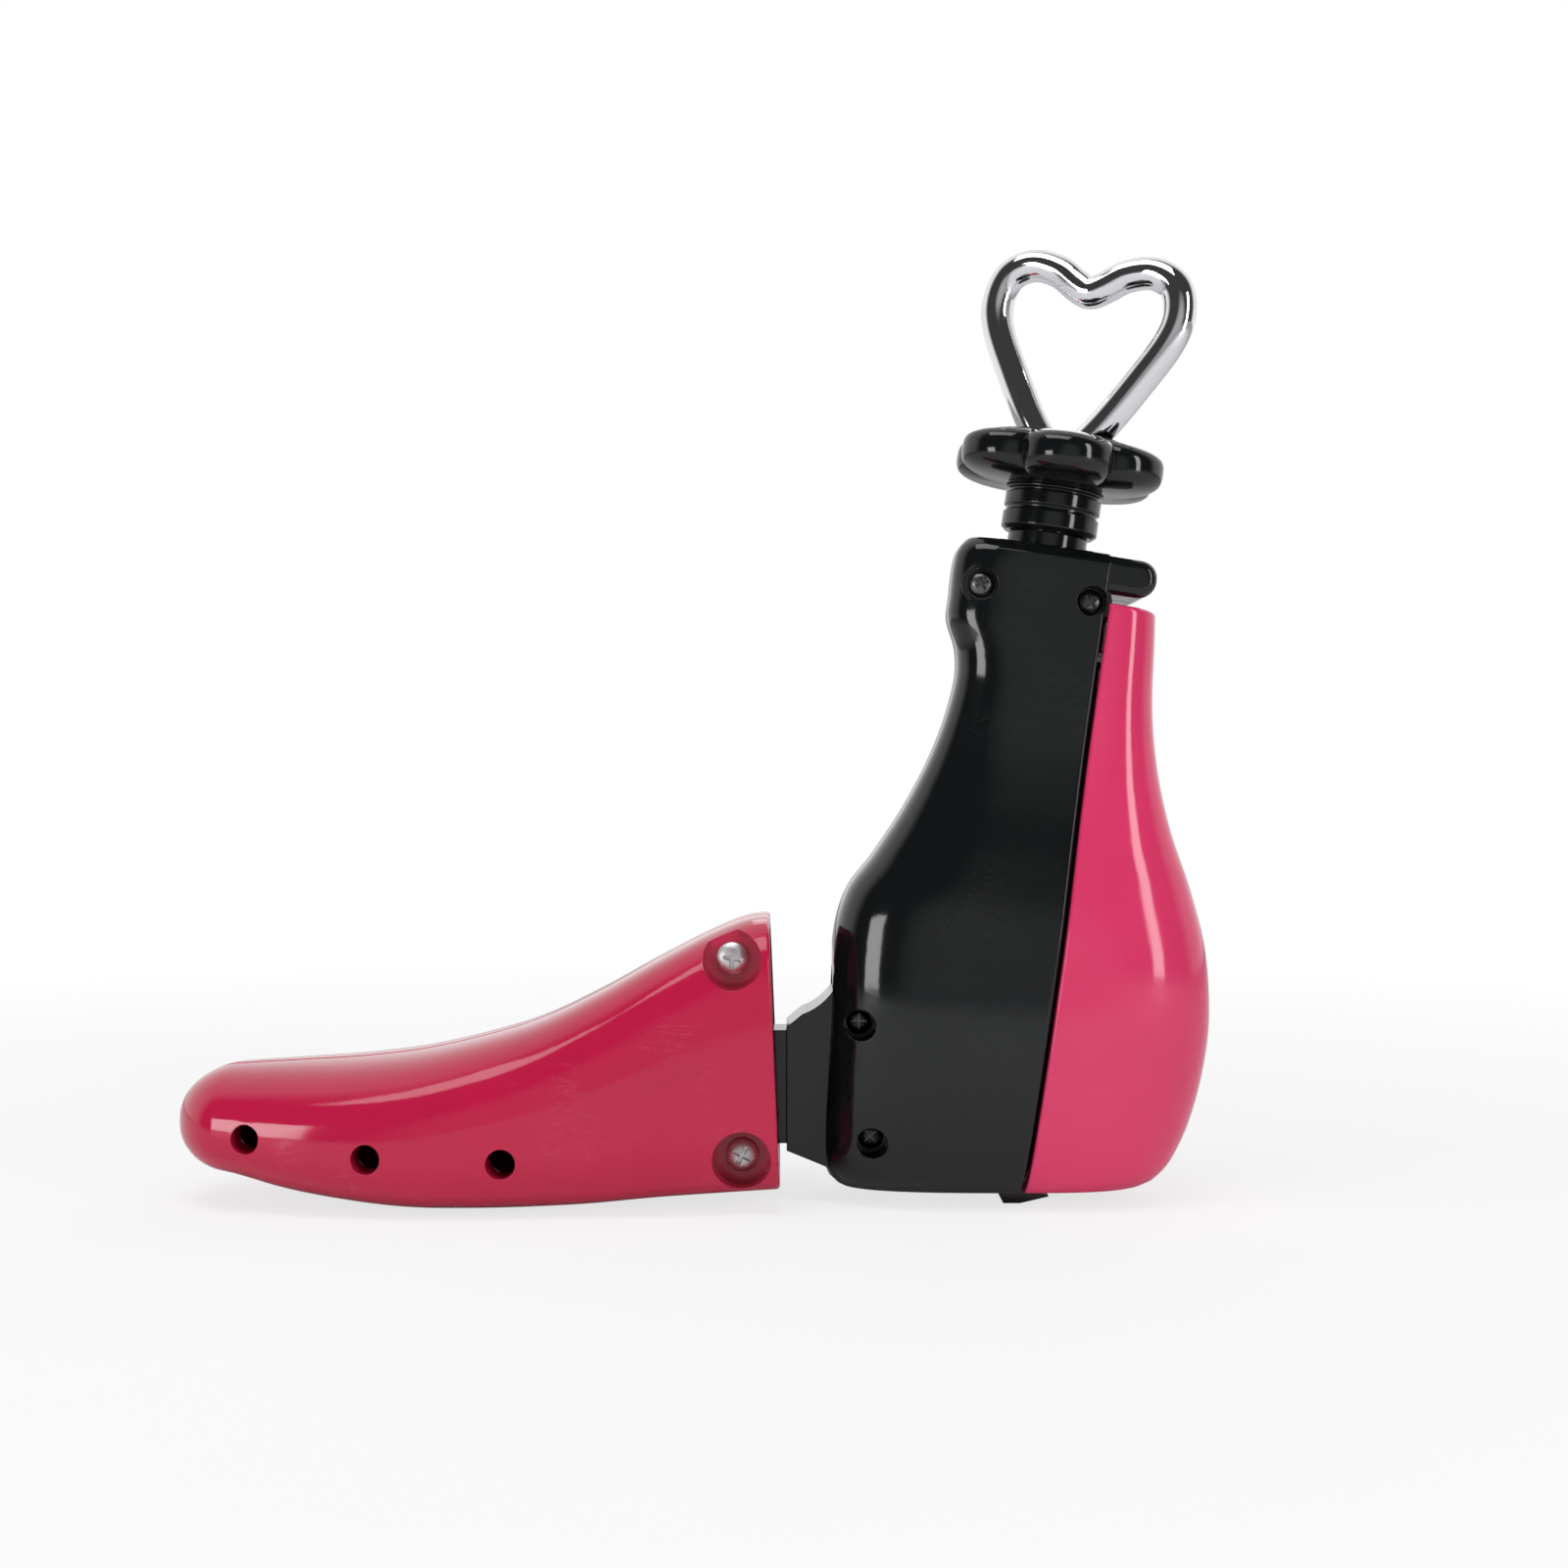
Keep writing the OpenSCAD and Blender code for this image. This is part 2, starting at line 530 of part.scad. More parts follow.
// Body shells and heel share one half width, so that they meet flush
body_rings = 34;
function side_w(s) = curve(heel_profile, 2, s / body_height) * body_width / 2;
function tilt_at(s) = lean * clamp(1 - (s - foot_s) / 30, 0, 1);
function front_x(s) = curve(front_profile, 1, s / body_height) * body_height;
function edge_round(s) = 1 - 0.28 * pow(max(1 - (body_height - s) / 3, 0), 2);
function body_ring(s, level, inset) = let (w = side_w(s) * edge_round(s) - inset - toe_split / 2)
    [for (a = quarter(10)) let (x = rim_x - (front_x(s) + rim_x - inset) * pow(cos(a), 0.62))
        [x, -w * pow(sin(a), 0.55) - toe_split / 2, level + x * tan(tilt_at(s))]];
function corner_at(s, level) = [rim_x, -toe_split / 2, level + rim_x * tan(tilt_at(s))];

body_screw_places = [[2.5 - front_x(body_height - 10.4), body_height - 10.4],
    [rim_x - 2.9, body_height - 10.8], [6.3 - front_x(22.8), 22.8], [9.7 - front_x(-0.8), -0.8]];
body_floor_y = 8;
boss_wall = 1.1;
beak_x = 23;
beak_low = body_height - 8.6;
beak_high = body_height - 0.6;
beak_w = side_w(body_height - 5) - 0.6;
beak_r = 3.8;
bush_slot = flange_d + 0.4;
guide_low_s = -2.5;
guide_high_s = body_height - 26;
guide_h = 8;
guide_low_h = 11.5;
bar_d = 3;
// Height, distance from the middle and front end of each pair of guide bars
low_bar = [guide_low_s + 8.1, 8.8, -6 - heel_travel];
high_bar = [guide_high_s + guide_h / 2, 7.1, 7 - heel_travel];
bars = [low_bar, high_bar];

insert_x = body_wall + 1.5;
lip_x0 = lean_point([rim_x, foot_s])[0] - 4;
lip_w = 9;

function shell_inner_y(s, x) =
    let (c = clamp((rim_x - x) / (front_x(s) + rim_x - body_wall), 0, 1))
    (side_w(s) - body_wall) * pow(max(1 - pow(c, 2 / 0.62), 0), 0.55 / 2);

module heel_lip() {
    translate([0, -toe_split / 2, 0]) rotate([90, 0, 0]) linear_extrude(lip_w)
        polygon([[lip_x0, foot_z - 8.6], [lip_x0 + 1.5, 0], [lip_x0 + 5, 0], [lip_x0 + 11, 1.4],
            [lip_x0 + 11, 1.7], [lip_x0 + 6, 2.4], [lip_x0 + 5, foot_z - 8.6]]);
}

// Beak of the body over the top of the heel
module beak() {
    hull() {
        translate([rim_x - 1.5, -beak_w, beak_low])
            cube([1, beak_w - toe_split / 2, beak_high - beak_low]);
        for (s = [beak_low + beak_r, beak_high - beak_r]) translate([beak_x - beak_r, 0, s])
            rotate([90, 0, 0]) {
                translate([0, 0, beak_w - 3.2]) cylinder(r = beak_r - 1, h = 3.2, $fn = 32);
                translate([0, 0, toe_split / 2]) cylinder(r = beak_r, h = beak_w - 3, $fn = 32);
            }
    }
}

module body_shell(pilot) {
    levels = [for (i = [0 : body_rings])
        foot_s + (body_height - foot_s) * (0.5 - 0.5 * cos(180 * i / body_rings))];
    lo = foot_s + body_wall;
    hi = body_height - body_wall;
    outer = [for (s = levels) body_ring(s, s, 0)];
    inner = [for (s = levels)
        body_ring(s, lo + (s - foot_s) * (hi - lo) / (body_height - foot_s), body_wall)];
    corners = [corner_at(foot_s, foot_s), corner_at(body_height, body_height), corner_at(foot_s, lo),
        corner_at(body_height, hi)];
    difference() {
        union() {
            heel_lip();
            on_spindle() {
                shell_skin(outer, inner, corners);
                beak();
                for (p = body_screw_places) {
                    r = body_recess_d / 2 + boss_wall;
                    seat = shell_inner_y(p[1], p[0] - r) + 0.8;
                    along_y(p, -max(seat, body_floor_y + 1.5), -toe_split / 2) circle(r = r);
                }
            }
        }
        on_spindle() {
            for (p = body_screw_places) {
                along_y(p, -big / 4, -body_floor_y) circle(d = body_recess_d);
                along_y(p, -big / 4, 0) circle(d = screw_shank_d + (pilot ? 0 : 2 * run));
            }
            translate([0, 0, body_height - body_wall - 6]) cylinder(d = bush_d + 2 * run, h = 20);
            translate([0, 0, body_height - body_wall - 8]) cylinder(d = bush_slot, h = 7.8);
        }
        translate([body_front_x - big, -gusset_t / 2 + 2 - run, 8 - run])
            cube([big + insert_x + run, gusset_t, 34 + 2 * run]);
        translate([body_front_x - big, -gusset_t / 2 - run, 7 - run])
            cube([big + 1 + run, gusset_t, 47 + 2 * run]);
    }
}
module body_shell_near() { color(black) body_shell(false); }
module body_shell_far() { color(black) mirror([0, 1, 0]) body_shell(true); }

module shell_screws() {
    color("dimgray") on_spindle() for (p = body_screw_places)
        translate([p[0], -body_floor_y - 2, p[1]]) rotate([90, 0, 0])
            pan_screw(5.4, 2, screw_shank_d, body_floor_y * 2 - 2);
}

// Guide blocks held between the shells, with bores for the heel's bars
module bar_bores(list, clearance) {
    for (b = list, side = [-1, 1]) translate([-big / 2, side * b[1], b[0]])
        rotate([0, 90, 0]) cylinder(d = bar_d + 2 * clearance, h = big);
}
module lower_guide() {
    w = shell_inner_y(guide_low_s - 1, low_bar[2]) - slip;
    color(black) on_spindle() difference() {
        union() {
            translate([low_bar[2], -w, guide_low_s]) cube([-1 - low_bar[2], 2 * w, guide_low_h]);
            translate([low_bar[2] + 7, -w / 2 - 2, guide_low_s - 3]) cube([-low_bar[2] - 2, w + 4, 3]);
        }
        translate([-big / 2, -nut_y - slip, guide_low_s])
            cube([big, 2 * nut_y + 2 * slip, guide_low_h + 1]);
        translate([0, 0, -big / 2]) cylinder(d = spindle_d + 2 * run, h = big);
        bar_bores([low_bar], run);
        for (p = body_screw_places)
            along_y(p, -big / 4, big / 4) circle(r = body_recess_d / 2 + boss_wall + slip);
    }
}
module upper_guide() {
    w = shell_inner_y(guide_high_s + guide_h, high_bar[2]) - slip / 2;
    color(black) on_spindle() difference() {
        translate([high_bar[2], -w, guide_high_s]) cube([10.5 - high_bar[2], 2 * w, guide_h]);
        cylinder(d = tube_d + 2 * run, h = big);
        bar_bores([high_bar], run);
    }
}

// Wedge nut that pushes the heel back as it climbs the length screw
heel_slope = 0.8;
heel_nut_h = 28;
heel_nut_s = guide_high_s - heel_nut_h - 24;
heel_nut_x = 7.6;
heel_nut_y = 7;
nut_top = heel_nut_s + heel_nut_h;
function heel_face(s) = heel_nut_x + heel_slope * (nut_top - s);
// Extrude a profile by half to each side of the middle plane
module across(half) {
    rotate([90, 0, 0]) translate([0, 0, -half]) linear_extrude(2 * half) children();
}
module length_wedge() {
    color("dimgray") on_spindle() difference() {
        across(heel_nut_y)
            polygon([[-8, heel_nut_s], [heel_face(heel_nut_s), heel_nut_s],
                [heel_face(nut_top), nut_top], [-8, nut_top]]);
        cylinder(d = tube_d + 2 * run, h = big);
    }
}

heel_front = rim_x + 1.7;
heel_top = body_height - 10.6;
function heel_reach_at(s) = curve(heel_profile, 1, s / body_height) * heel_reach;
function heel_ring(s, level, inset) = let (w = side_w(s) - inset, d = heel_reach_at(s) - heel_front - inset)
    [for (a = concat([for (q = quarter(9)) 90 - q], [for (q = quarter(9)) if (q > 0) -q]))
        let (x = heel_front + d * pow(max(cos(a), 0), 0.72))
        [x, -w * sgn_pow(sin(a), 0.72), level + x * tan(tilt_at(s))]];
module heel_block() {
    n = 32;
    levels = [for (i = [0 : n]) foot_s + (heel_top - foot_s) * (0.5 - 0.5 * cos(180 * i / n))];
    lo = foot_s + heel_wall;
    hi = heel_top - heel_wall;
    outer = [for (s = levels) heel_ring(s, s, s > heel_top - 1 ? 0.5 : 0)];
    inner = [for (s = levels)
        heel_ring(s, lo + (s - foot_s) * (hi - lo) / (heel_top - foot_s), heel_wall)];
    color([0.86, 0.2, 0.4]) difference() {
        union() {
            on_spindle() shell_skin(outer, inner);
            on_spindle() for (s = slider_screw_s) translate([slider_back, 0, s]) rotate([0, 90, 0])
                cylinder(d = 8, h = heel_reach_at(s) - slider_back - heel_wall / 2);
            on_spindle() for (side = [-1, 1]) translate([heel_front, side * high_bar[1], high_bar[0]])
                rotate([0, 90, 0]) cylinder(d = bar_d + 2.4, h = high_bar_len);
        }
        on_spindle() for (side = [-1, 1]) translate([heel_front - 1, side * high_bar[1], high_bar[0]])
            rotate([0, 90, 0]) cylinder(d = bar_d, h = high_bar_len);
        on_spindle() for (s = slider_screw_s) translate([0, 0, s]) rotate([0, 90, 0])
            cylinder(d = screw_shank_d, h = slider_back + 9);
    }
}

// Slider: the black carriage inside the heel, with skirts that close the gap as the heel moves out
slider_screw_s = [18, guide_high_s - 10];
slider_back = heel_front + 3;
slider_low = guide_low_s + 0.5;
slider_high = guide_high_s - 2.6;
high_bar_len = 5.6;
skirt_x = 1.5;
skirt_t = 1.6;
function skirt_w(s) =
    min(side_w(s), side_w(max(s - 3, foot_s))) - max(body_wall, heel_wall) - slip - 0.6;
function skirt_ring(s, level, t) = let (w = skirt_w(s) - t, x = slider_back - 2 * t)
    [[skirt_x, -w, level], [x, -w, level], [x, w, level], [skirt_x, w, level]];
module heel_slider() {
    levels = [for (i = [0 : 16]) slider_low + (slider_high - slider_low) * i / 16];
    wall_lo = slider_low + skirt_t;
    wall_hi = slider_high - skirt_t;
    color(black) on_spindle() difference() {
        union() {
            shell_skin([for (s = levels) skirt_ring(s, s, 0)],
                [for (s = levels) skirt_ring(s, wall_lo + (s - slider_low) * (wall_hi - wall_lo)
                    / (slider_high - slider_low), skirt_t)]);
            across(heel_nut_y + 2) polygon([[heel_front - 2, heel_nut_s - 4],
                [heel_face(heel_nut_s) + 5, heel_nut_s - 4], [heel_face(heel_nut_s) + 5, heel_nut_s + 4],
                [heel_front + 3, nut_top + 1], [heel_front - 2, nut_top + 1]]);
        }
        across(heel_nut_y + slip) polygon([[-20, heel_nut_s - 3],
            [heel_face(heel_nut_s - 3) + run, heel_nut_s - 3], [heel_face(nut_top) + run, nut_top],
            [-20, nut_top]]);
        for (s = slider_screw_s) translate([0, 0, s]) rotate([0, 90, 0])
            cylinder(d = screw_shank_d + 2 * run, h = big);
        for (s = [slider_low - 1, slider_high - skirt_t - 1])
            translate([-8, -nut_y - 2 * slip, s]) cube([16, 2 * nut_y + 4 * slip, skirt_t + 2]);
        bar_bores([low_bar], 0);
    }
}
module heel_guide_bars() {
    ends = [slider_back, heel_front + high_bar_len - 1];
    color(steel) on_spindle() for (i = [0, 1], side = [-1, 1])
        translate([bars[i][2], side * bars[i][1], bars[i][0]])
            rotate([0, 90, 0]) cylinder(d = bar_d, h = ends[i] - bars[i][2]);
}
module heel_screws() {
    color(steel) on_spindle() for (s = slider_screw_s) translate([slider_back - 2 * skirt_t - 2, 0, s])
        rotate([0, -90, 0]) pan_screw(5.4, 2, screw_shank_d, 10);
}

body_shell_near();
body_shell_far();
shell_screws();
toe_bracket();
toe_guide_pins();
pin_clips();
knob_bush();
upper_guide();
lower_guide();
star_knob();
knob_hub();
length_screw();
knob_clip();
heart_handle();
handle_ferrule();
spindle();
length_wedge();
heel_block();
heel_slider();
heel_guide_bars();
heel_screws();
width_wedge();
push_rod();
spreader_wedge();
toe_half_near();
toe_half_far();
ramp_block_near();
ramp_block_far();
toe_screws_near();
toe_screws_far();
toe_springs_near();
toe_springs_far();
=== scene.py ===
"""Shoe stretcher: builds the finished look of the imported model, piece by piece."""

import json
import math

import bmesh
import bpy
import numpy as np
from bpy.props import FloatProperty, FloatVectorProperty, IntProperty, PointerProperty
from mathutils import Matrix, Vector

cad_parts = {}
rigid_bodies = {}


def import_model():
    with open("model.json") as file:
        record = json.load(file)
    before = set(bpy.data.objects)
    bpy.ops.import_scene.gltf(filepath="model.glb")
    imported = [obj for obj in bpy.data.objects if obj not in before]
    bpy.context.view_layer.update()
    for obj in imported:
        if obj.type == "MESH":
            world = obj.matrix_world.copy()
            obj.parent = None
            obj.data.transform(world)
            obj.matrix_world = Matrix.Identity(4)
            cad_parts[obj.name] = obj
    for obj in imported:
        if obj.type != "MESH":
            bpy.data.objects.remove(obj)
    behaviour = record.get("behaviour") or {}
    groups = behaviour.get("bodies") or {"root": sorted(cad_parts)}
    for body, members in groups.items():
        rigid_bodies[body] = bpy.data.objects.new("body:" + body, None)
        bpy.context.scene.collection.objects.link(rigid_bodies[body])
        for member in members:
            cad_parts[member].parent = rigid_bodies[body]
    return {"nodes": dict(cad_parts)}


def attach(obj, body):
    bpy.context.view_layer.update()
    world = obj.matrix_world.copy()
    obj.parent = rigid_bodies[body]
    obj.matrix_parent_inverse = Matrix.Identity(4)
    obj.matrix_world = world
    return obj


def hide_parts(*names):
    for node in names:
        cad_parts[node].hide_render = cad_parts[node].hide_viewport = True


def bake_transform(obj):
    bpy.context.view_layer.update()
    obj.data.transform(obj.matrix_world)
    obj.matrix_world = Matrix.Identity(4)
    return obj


bl_info = {
    "name": "Shoe stretcher",
    "version": (1, 0, 0),
    "blender": (4, 5, 0),
    "location": "3D View > Sidebar > Stretcher",
    "description": "Builds a shoe stretcher with a split toe, a heel block and a heart handle",
    "category": "Add Mesh",
}

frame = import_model()

MM = 0.001
TAU = 2 * math.pi

# Distances from a rounded edge at which rows of points lie, in millimetres
CLOSE = (0, 0.04, 0.13, 0.28, 0.48, 0.7, 1.1)
# Fine steps of a quarter turn, from which the even points of a section are taken
QUARTER_STEPS = 500
# Rows of points over the height of body and heel, and over the length of the toe
LEVELS = 96
# Height of the spindle frame's origin, and of the lowest body section in that frame
SPINDLE_FOOT, BODY_FOOT = 12 * MM, -9.3 * MM
# Share of the body's height at which it faces the toe
FACING = 0.15
# A distance beyond every side, where the cutting shapes end
OUTSIDE = 46 * MM
# Distance that keeps joined blocks off the split plane
CLEAR = 0.03 * MM
# How square the sections of body and heel are: a smaller power is squarer
BODY_DEPTH_POWER, BODY_WIDTH_POWER, HEEL_POWER = 0.62, 0.55, 0.72
# Shares of the toe: length of its rounded nose, size of its blunt tip, taper to its top
NOSE, BLUNT_TIP, TOE_TAPER = 0.09, 0.12, 0.12
# How far the top of the toe's rear face leans forward
REAR_SLANT = 2.5 * MM
# Plug holes of the toe, as distances behind its tip and above the floor, in millimetres
PLUGS = ((18.6, 15.6), (44.2, 12.4), (71.5, 11.5))
# Pockets in the body's front for the bracket: depth, half width, foot and top in millimetres
POCKETS = ((3.75, 7.05, 7.95, 42.05), (1.05, 9.05, 6.95, 54.05))
# Outline of the lip under the heel end, from its front corner, in millimetres
LIP = ((0, 3.4), (1.5, 0), (5, 0), (11, 1.4), (11, 1.7), (6, 2.4), (5, 3.4))
# Height of the floor of the star knob's dish above the knob's underside
DISH_FLOOR = 2.4 * MM
# Depth of the hollows between the knob's lobes
LOBE_DEPTH = 4.42 * MM
# Brightness of the room in gloss and chrome, from behind the camera to behind the piece
ROOM = ((0, 0.46), (0.02, 0.4), (0.06, 0.05), (0.42, 0.05), (0.58, 1))

# Soft lamps: name, place, place they point at, width and height, and power
LAMPS = (
    ("Top softbox", (-0.15, -0.30, 0.95), (0, 0, 0.08), (0.7, 0.45), 3.7),
    ("Left softbox", (-0.80, -0.75, 0.20), (-0.04, 0, 0.05), (0.34, 0.34), 2.8),
    ("Right softbox", (0.74, -0.62, 0.32), (0.05, 0, 0.08), (0.16, 0.62), 2.5),
    ("Back softbox", (0.25, 0.9, 0.7), (0, 0, 0.08), (0.8, 0.5), 1.6),
)

# Place along the toe, underside, top and half width, as shares of the toe's size
TOE_PROFILE = (
    (0, 0.13, 0.455, 0.60), (0.1, 0.105, 0.47, 0.74), (0.2, 0.055, 0.482, 0.86),
    (0.3, 0.022, 0.495, 0.95), (0.4, 0.002, 0.52, 1), (0.5, 0, 0.566, 1),
    (0.6, 0.005, 0.63, 0.97), (0.7, 0.016, 0.728, 0.93), (0.8, 0.036, 0.841, 0.9),
    (0.9, 0.051, 0.944, 0.87), (0.96, 0.06, 0.99, 0.86), (1, 0.066, 1, 0.85),
)
# Height on the body and distance of its front from the spindle, as shares of its height
FRONT_PROFILE = (
    (-0.073, 0.15), (-0.067, 0.188), (-0.047, 0.213), (0, 0.227), (0.156, 0.244),
    (0.312, 0.258), (0.39, 0.247), (0.453, 0.213), (0.547, 0.17), (0.656, 0.135),
    (0.758, 0.12), (0.812, 0.127), (0.859, 0.148), (0.89, 0.15), (0.97, 0.15), (1, 0.133),
)
# Height as a share of the body's, reach of the heel and half width as shares of theirs
HEEL_PROFILE = (
    (-0.073, 0.68, 0.58), (-0.066, 0.81, 0.73), (-0.04, 0.884, 0.85), (0, 0.93, 0.925),
    (0.078, 0.974, 0.978), (0.195, 1, 1), (0.276, 0.99, 0.99), (0.38, 0.93, 0.955),
    (0.474, 0.83, 0.85), (0.567, 0.708, 0.73), (0.662, 0.616, 0.64), (0.758, 0.557, 0.6),
    (0.88, 0.52, 0.565), (0.918, 0.508, 0.555), (1, 0.5, 0.55),
)
# Half of the heart's centre line, as shares of its half width and height
HEART_HALF = (
    (0, 0), (0.127, 0.043), (0.407, 0.213), (0.71, 0.452), (0.94, 0.657), (1, 0.802),
    (0.912, 0.937), (0.66, 1), (0.37, 0.976), (0.157, 0.913), (0, 0.88),
)


def length(description, default):
    return FloatProperty(
        description=description, default=default, min=0, unit="LENGTH", precision=4
    )


def colour(thing, default):
    return FloatVectorProperty(
        description=f"Colour of the {thing}", default=default, size=3, subtype="COLOR",
        min=0, max=1,
    )


class StretcherSizes(bpy.types.PropertyGroup):
    """Sizes of the stretcher's shown pieces"""

    total_length: length("From the tip of the toe to the back of the heel", 0.219)
    lean: FloatProperty(
        description="Backward lean of the body", default=math.radians(8.5), subtype="ANGLE"
    )
    toe_gap: length("Gap between the toe and the body", 0.010)
    toe_height: length("Height of the toe at its rear face", 0.0604)
    toe_width: length("Width of the closed toe halves", 0.056)
    toe_wall: length("Wall of the toe halves", 0.0024)
    split: length("Gap at the split line of toe and body", 0.0005)
    plug_hole: length("Diameter of the plug holes in the toe", 0.006)
    toe_recess: length("Diameter of the screw recesses of the toe", 0.012)
    body_height: length("Height of the body along the spindle", 0.128)
    body_width: length("Width of body and heel at the widest", 0.045)
    body_wall: length("Wall of the body shells", 0.0022)
    rim: length("Distance from the spindle to the open rear rim", 0.0128)
    body_recess: length("Diameter of the body's screw recesses", 0.0064)
    heel_reach: length("Distance from the spindle to the heel's back", 0.0489)
    heel_wall: length("Wall of the heel block", 0.0025)
    knob: length("Diameter over the lobes of the star knob", 0.0464)
    knob_thickness: length("Thickness of the star knob", 0.011)
    lobes: IntProperty(description="Number of lobes on the knob", default=6, min=3)
    hub: length("Diameter of the knob's hub", 0.0206)
    heart_rod: length("Diameter of the heart handle's rod", 0.0072)
    heart_width: length("Width of the heart handle", 0.048)
    heart_height: length("Height of the heart above the knob", 0.041)
    edge: length("Radius of the rounded edges of the moulded shells", 0.0007)
    screw_head: length("Diameter of the toe's screw heads", 0.0068)
    spring: length("Outer diameter of the toe springs", 0.007)


class StretcherColours(bpy.types.PropertyGroup):
    """Colours and finish of the stretcher's materials"""

    toe: colour("toe's plastic", (0.50, 0.010, 0.055))
    heel: colour("heel's plastic", (0.70, 0.040, 0.135))
    body: colour("glossy black plastic", (0.005, 0.006, 0.0065))
    inner: colour("satin black plastic", (0.008, 0.008, 0.0085))
    chrome: colour("plated handle", (0.78, 0.78, 0.80))
    screw: colour("zinc plated screws", (0.72, 0.72, 0.72))
    oxide: colour("blackened screws", (0.13, 0.13, 0.135))
    nut: colour("cast wedge nuts", (0.58, 0.42, 0.18))
    floor: colour("floor", (0.88, 0.88, 0.88))
    scuffs: FloatProperty(
        description="Share of fine scuffs on the glossy plastic", default=0.5, min=0, max=1,
        subtype="FACTOR",
    )


def sizes():
    return bpy.context.scene.stretcher_sizes


def colours():
    return bpy.context.scene.stretcher_colours


def curve(table, column, t):
    """Smooth curve through one column of a profile."""
    last = len(table) - 1
    i = 0
    while i < last - 1 and t > table[i + 1][0]:
        i += 1

    def slope(k):
        a, b = table[max(k - 1, 0)], table[min(k + 1, last)]
        return (b[column] - a[column]) / (b[0] - a[0])

    h = table[i + 1][0] - table[i][0]
    u = (t - table[i][0]) / h
    return (
        (2 * u**3 - 3 * u**2 + 1) * table[i][column] + (u**3 - 2 * u**2 + u) * h * slope(i)
        + (3 * u**2 - 2 * u**3) * table[i + 1][column] + (u**3 - u**2) * h * slope(i + 1)
    )


def fillet(distance, radius):
    """How far a rounded edge lies inside its corner, at a distance from the edge."""
    d = np.clip(distance, 0, radius)
    return radius - np.sqrt(np.maximum(radius**2 - (radius - d) ** 2, 0))


def quarter():
    """Angles from 0 to 90 degrees, closer together near both ends."""
    return math.pi / 4 * (1 - np.cos(np.linspace(0, math.pi, QUARTER_STEPS)))


def half_turn():
    """Cosines and sines of the angles from 90 to -90 degrees."""
    q = quarter()
    cosine = np.concatenate([np.cos(q[::-1]), np.cos(q[1:])])
    return cosine, np.concatenate([np.sin(q[::-1]), -np.sin(q[1:])])


def even(line, count):
    """Points evenly along a line, with more of them near its two ends."""
    at = np.concatenate([[0], np.cumsum(np.linalg.norm(np.diff(line, axis=0), axis=1))])
    total = at[-1]
    close = np.array(CLOSE) * MM * min(1, total / (12 * MM))
    middle = np.linspace(close[-1], total - close[-1], count)[1:-1]
    where = np.concatenate([close, middle, total - close[::-1]])
    return np.column_stack([np.interp(where, at, line[:, k]) for k in range(line.shape[1])])


def spindle_frame():
    """Matrix of the body's leaning frame, with z along the spindle."""
    s = sizes()
    overhang = 4.6 * MM  # how far the leaning heel's back passes its foot
    foot = s.total_length / 2 - s.heel_reach * math.cos(s.lean) - overhang
    return Matrix.Translation((foot, 0, SPINDLE_FOOT)) @ Matrix.Rotation(s.lean, 4, "Y")


def linked(name, data):
    """A new object in the scene."""
    made = bpy.data.objects.new(name, data)
    bpy.context.scene.collection.objects.link(made)
    return made


def mesh_object(name, bm):
    """A new object from a bmesh, which is freed."""
    mesh = bpy.data.meshes.new(name)
    bm.to_mesh(mesh)
    bm.free()
    return linked(name, mesh)


def new_object(name, bm, material, sharp=34, weighted=True):
    """A finished piece from a bmesh: normals outward, smooth with sharp corners."""
    bmesh.ops.remove_doubles(bm, verts=bm.verts, dist=2e-7)
    bmesh.ops.recalc_face_normals(bm, faces=bm.faces)
    for face in bm.faces:
        face.smooth = True
    limit = math.radians(sharp)
    for edge in bm.edges:
        edge.smooth = len(edge.link_faces) == 2 and edge.calc_face_angle(9) < limit
    piece = mesh_object(name, bm)
    piece.data.materials.append(material)
    if weighted:
        piece.modifiers.new("Even shading", "WEIGHTED_NORMAL").keep_sharp = True
    return piece


def add_points(bm, points):
    """New points of a mesh, in order."""
    return [bm.verts.new(p) for p in points]


def add_face(bm, verts):
    """A face through points, without repeated ones; nothing if it's there already."""
    loop = [v for i, v in enumerate(verts) if v is not verts[i - 1]]
    if len(loop) > 2:
        try:
            bm.faces.new(loop)
        except ValueError:
            pass


def shell(bm, outer, inner, rim=False, corners=None):
    """A thin wall between two grids of points, with caps at both ends or a rim at the last."""
    grids = [[add_points(bm, row) for row in grid] for grid in (outer, inner)]
    rows, columns = len(outer), len(outer[0])
    for grid in grids:
        for i in range(rows - 1):
            for j in range(columns - 1):
                add_face(bm, [grid[i][j], grid[i][j + 1], grid[i + 1][j + 1], grid[i + 1][j]])
    out, into = grids
    for i in range(rows - 1):
        for j in (0, columns - 1):
            add_face(bm, [out[i][j], out[i + 1][j], into[i + 1][j], into[i][j]])
    for end, i in enumerate((0, rows - 1)):
        if rim and end:
            for j in range(columns - 1):
                add_face(bm, [out[i][j], out[i][j + 1], into[i][j + 1], into[i][j]])
            continue
        a, b = list(out[i]), list(into[i])
        if corners is None:
            add_face(bm, [a[0], b[0], b[-1], a[-1]])
        else:
            c, d = add_points(bm, (corners[end], corners[end + 2]))
            add_face(bm, [a[0], b[0], d, c])
            add_face(bm, [c, d, b[-1], a[-1]])
            a, b = [c, *a], [d, *b]
        add_face(bm, a)
        add_face(bm, b)


def quads(bm, rings, closed=False):
    """Faces between rings of points, each ring closed on itself."""
    for a, b in zip(rings, rings[1:] + (rings[:1] if closed else [])):
        for k in range(len(a)):
            n = (k + 1) % len(a)
            add_face(bm, [a[k], a[n], b[n], b[k]])


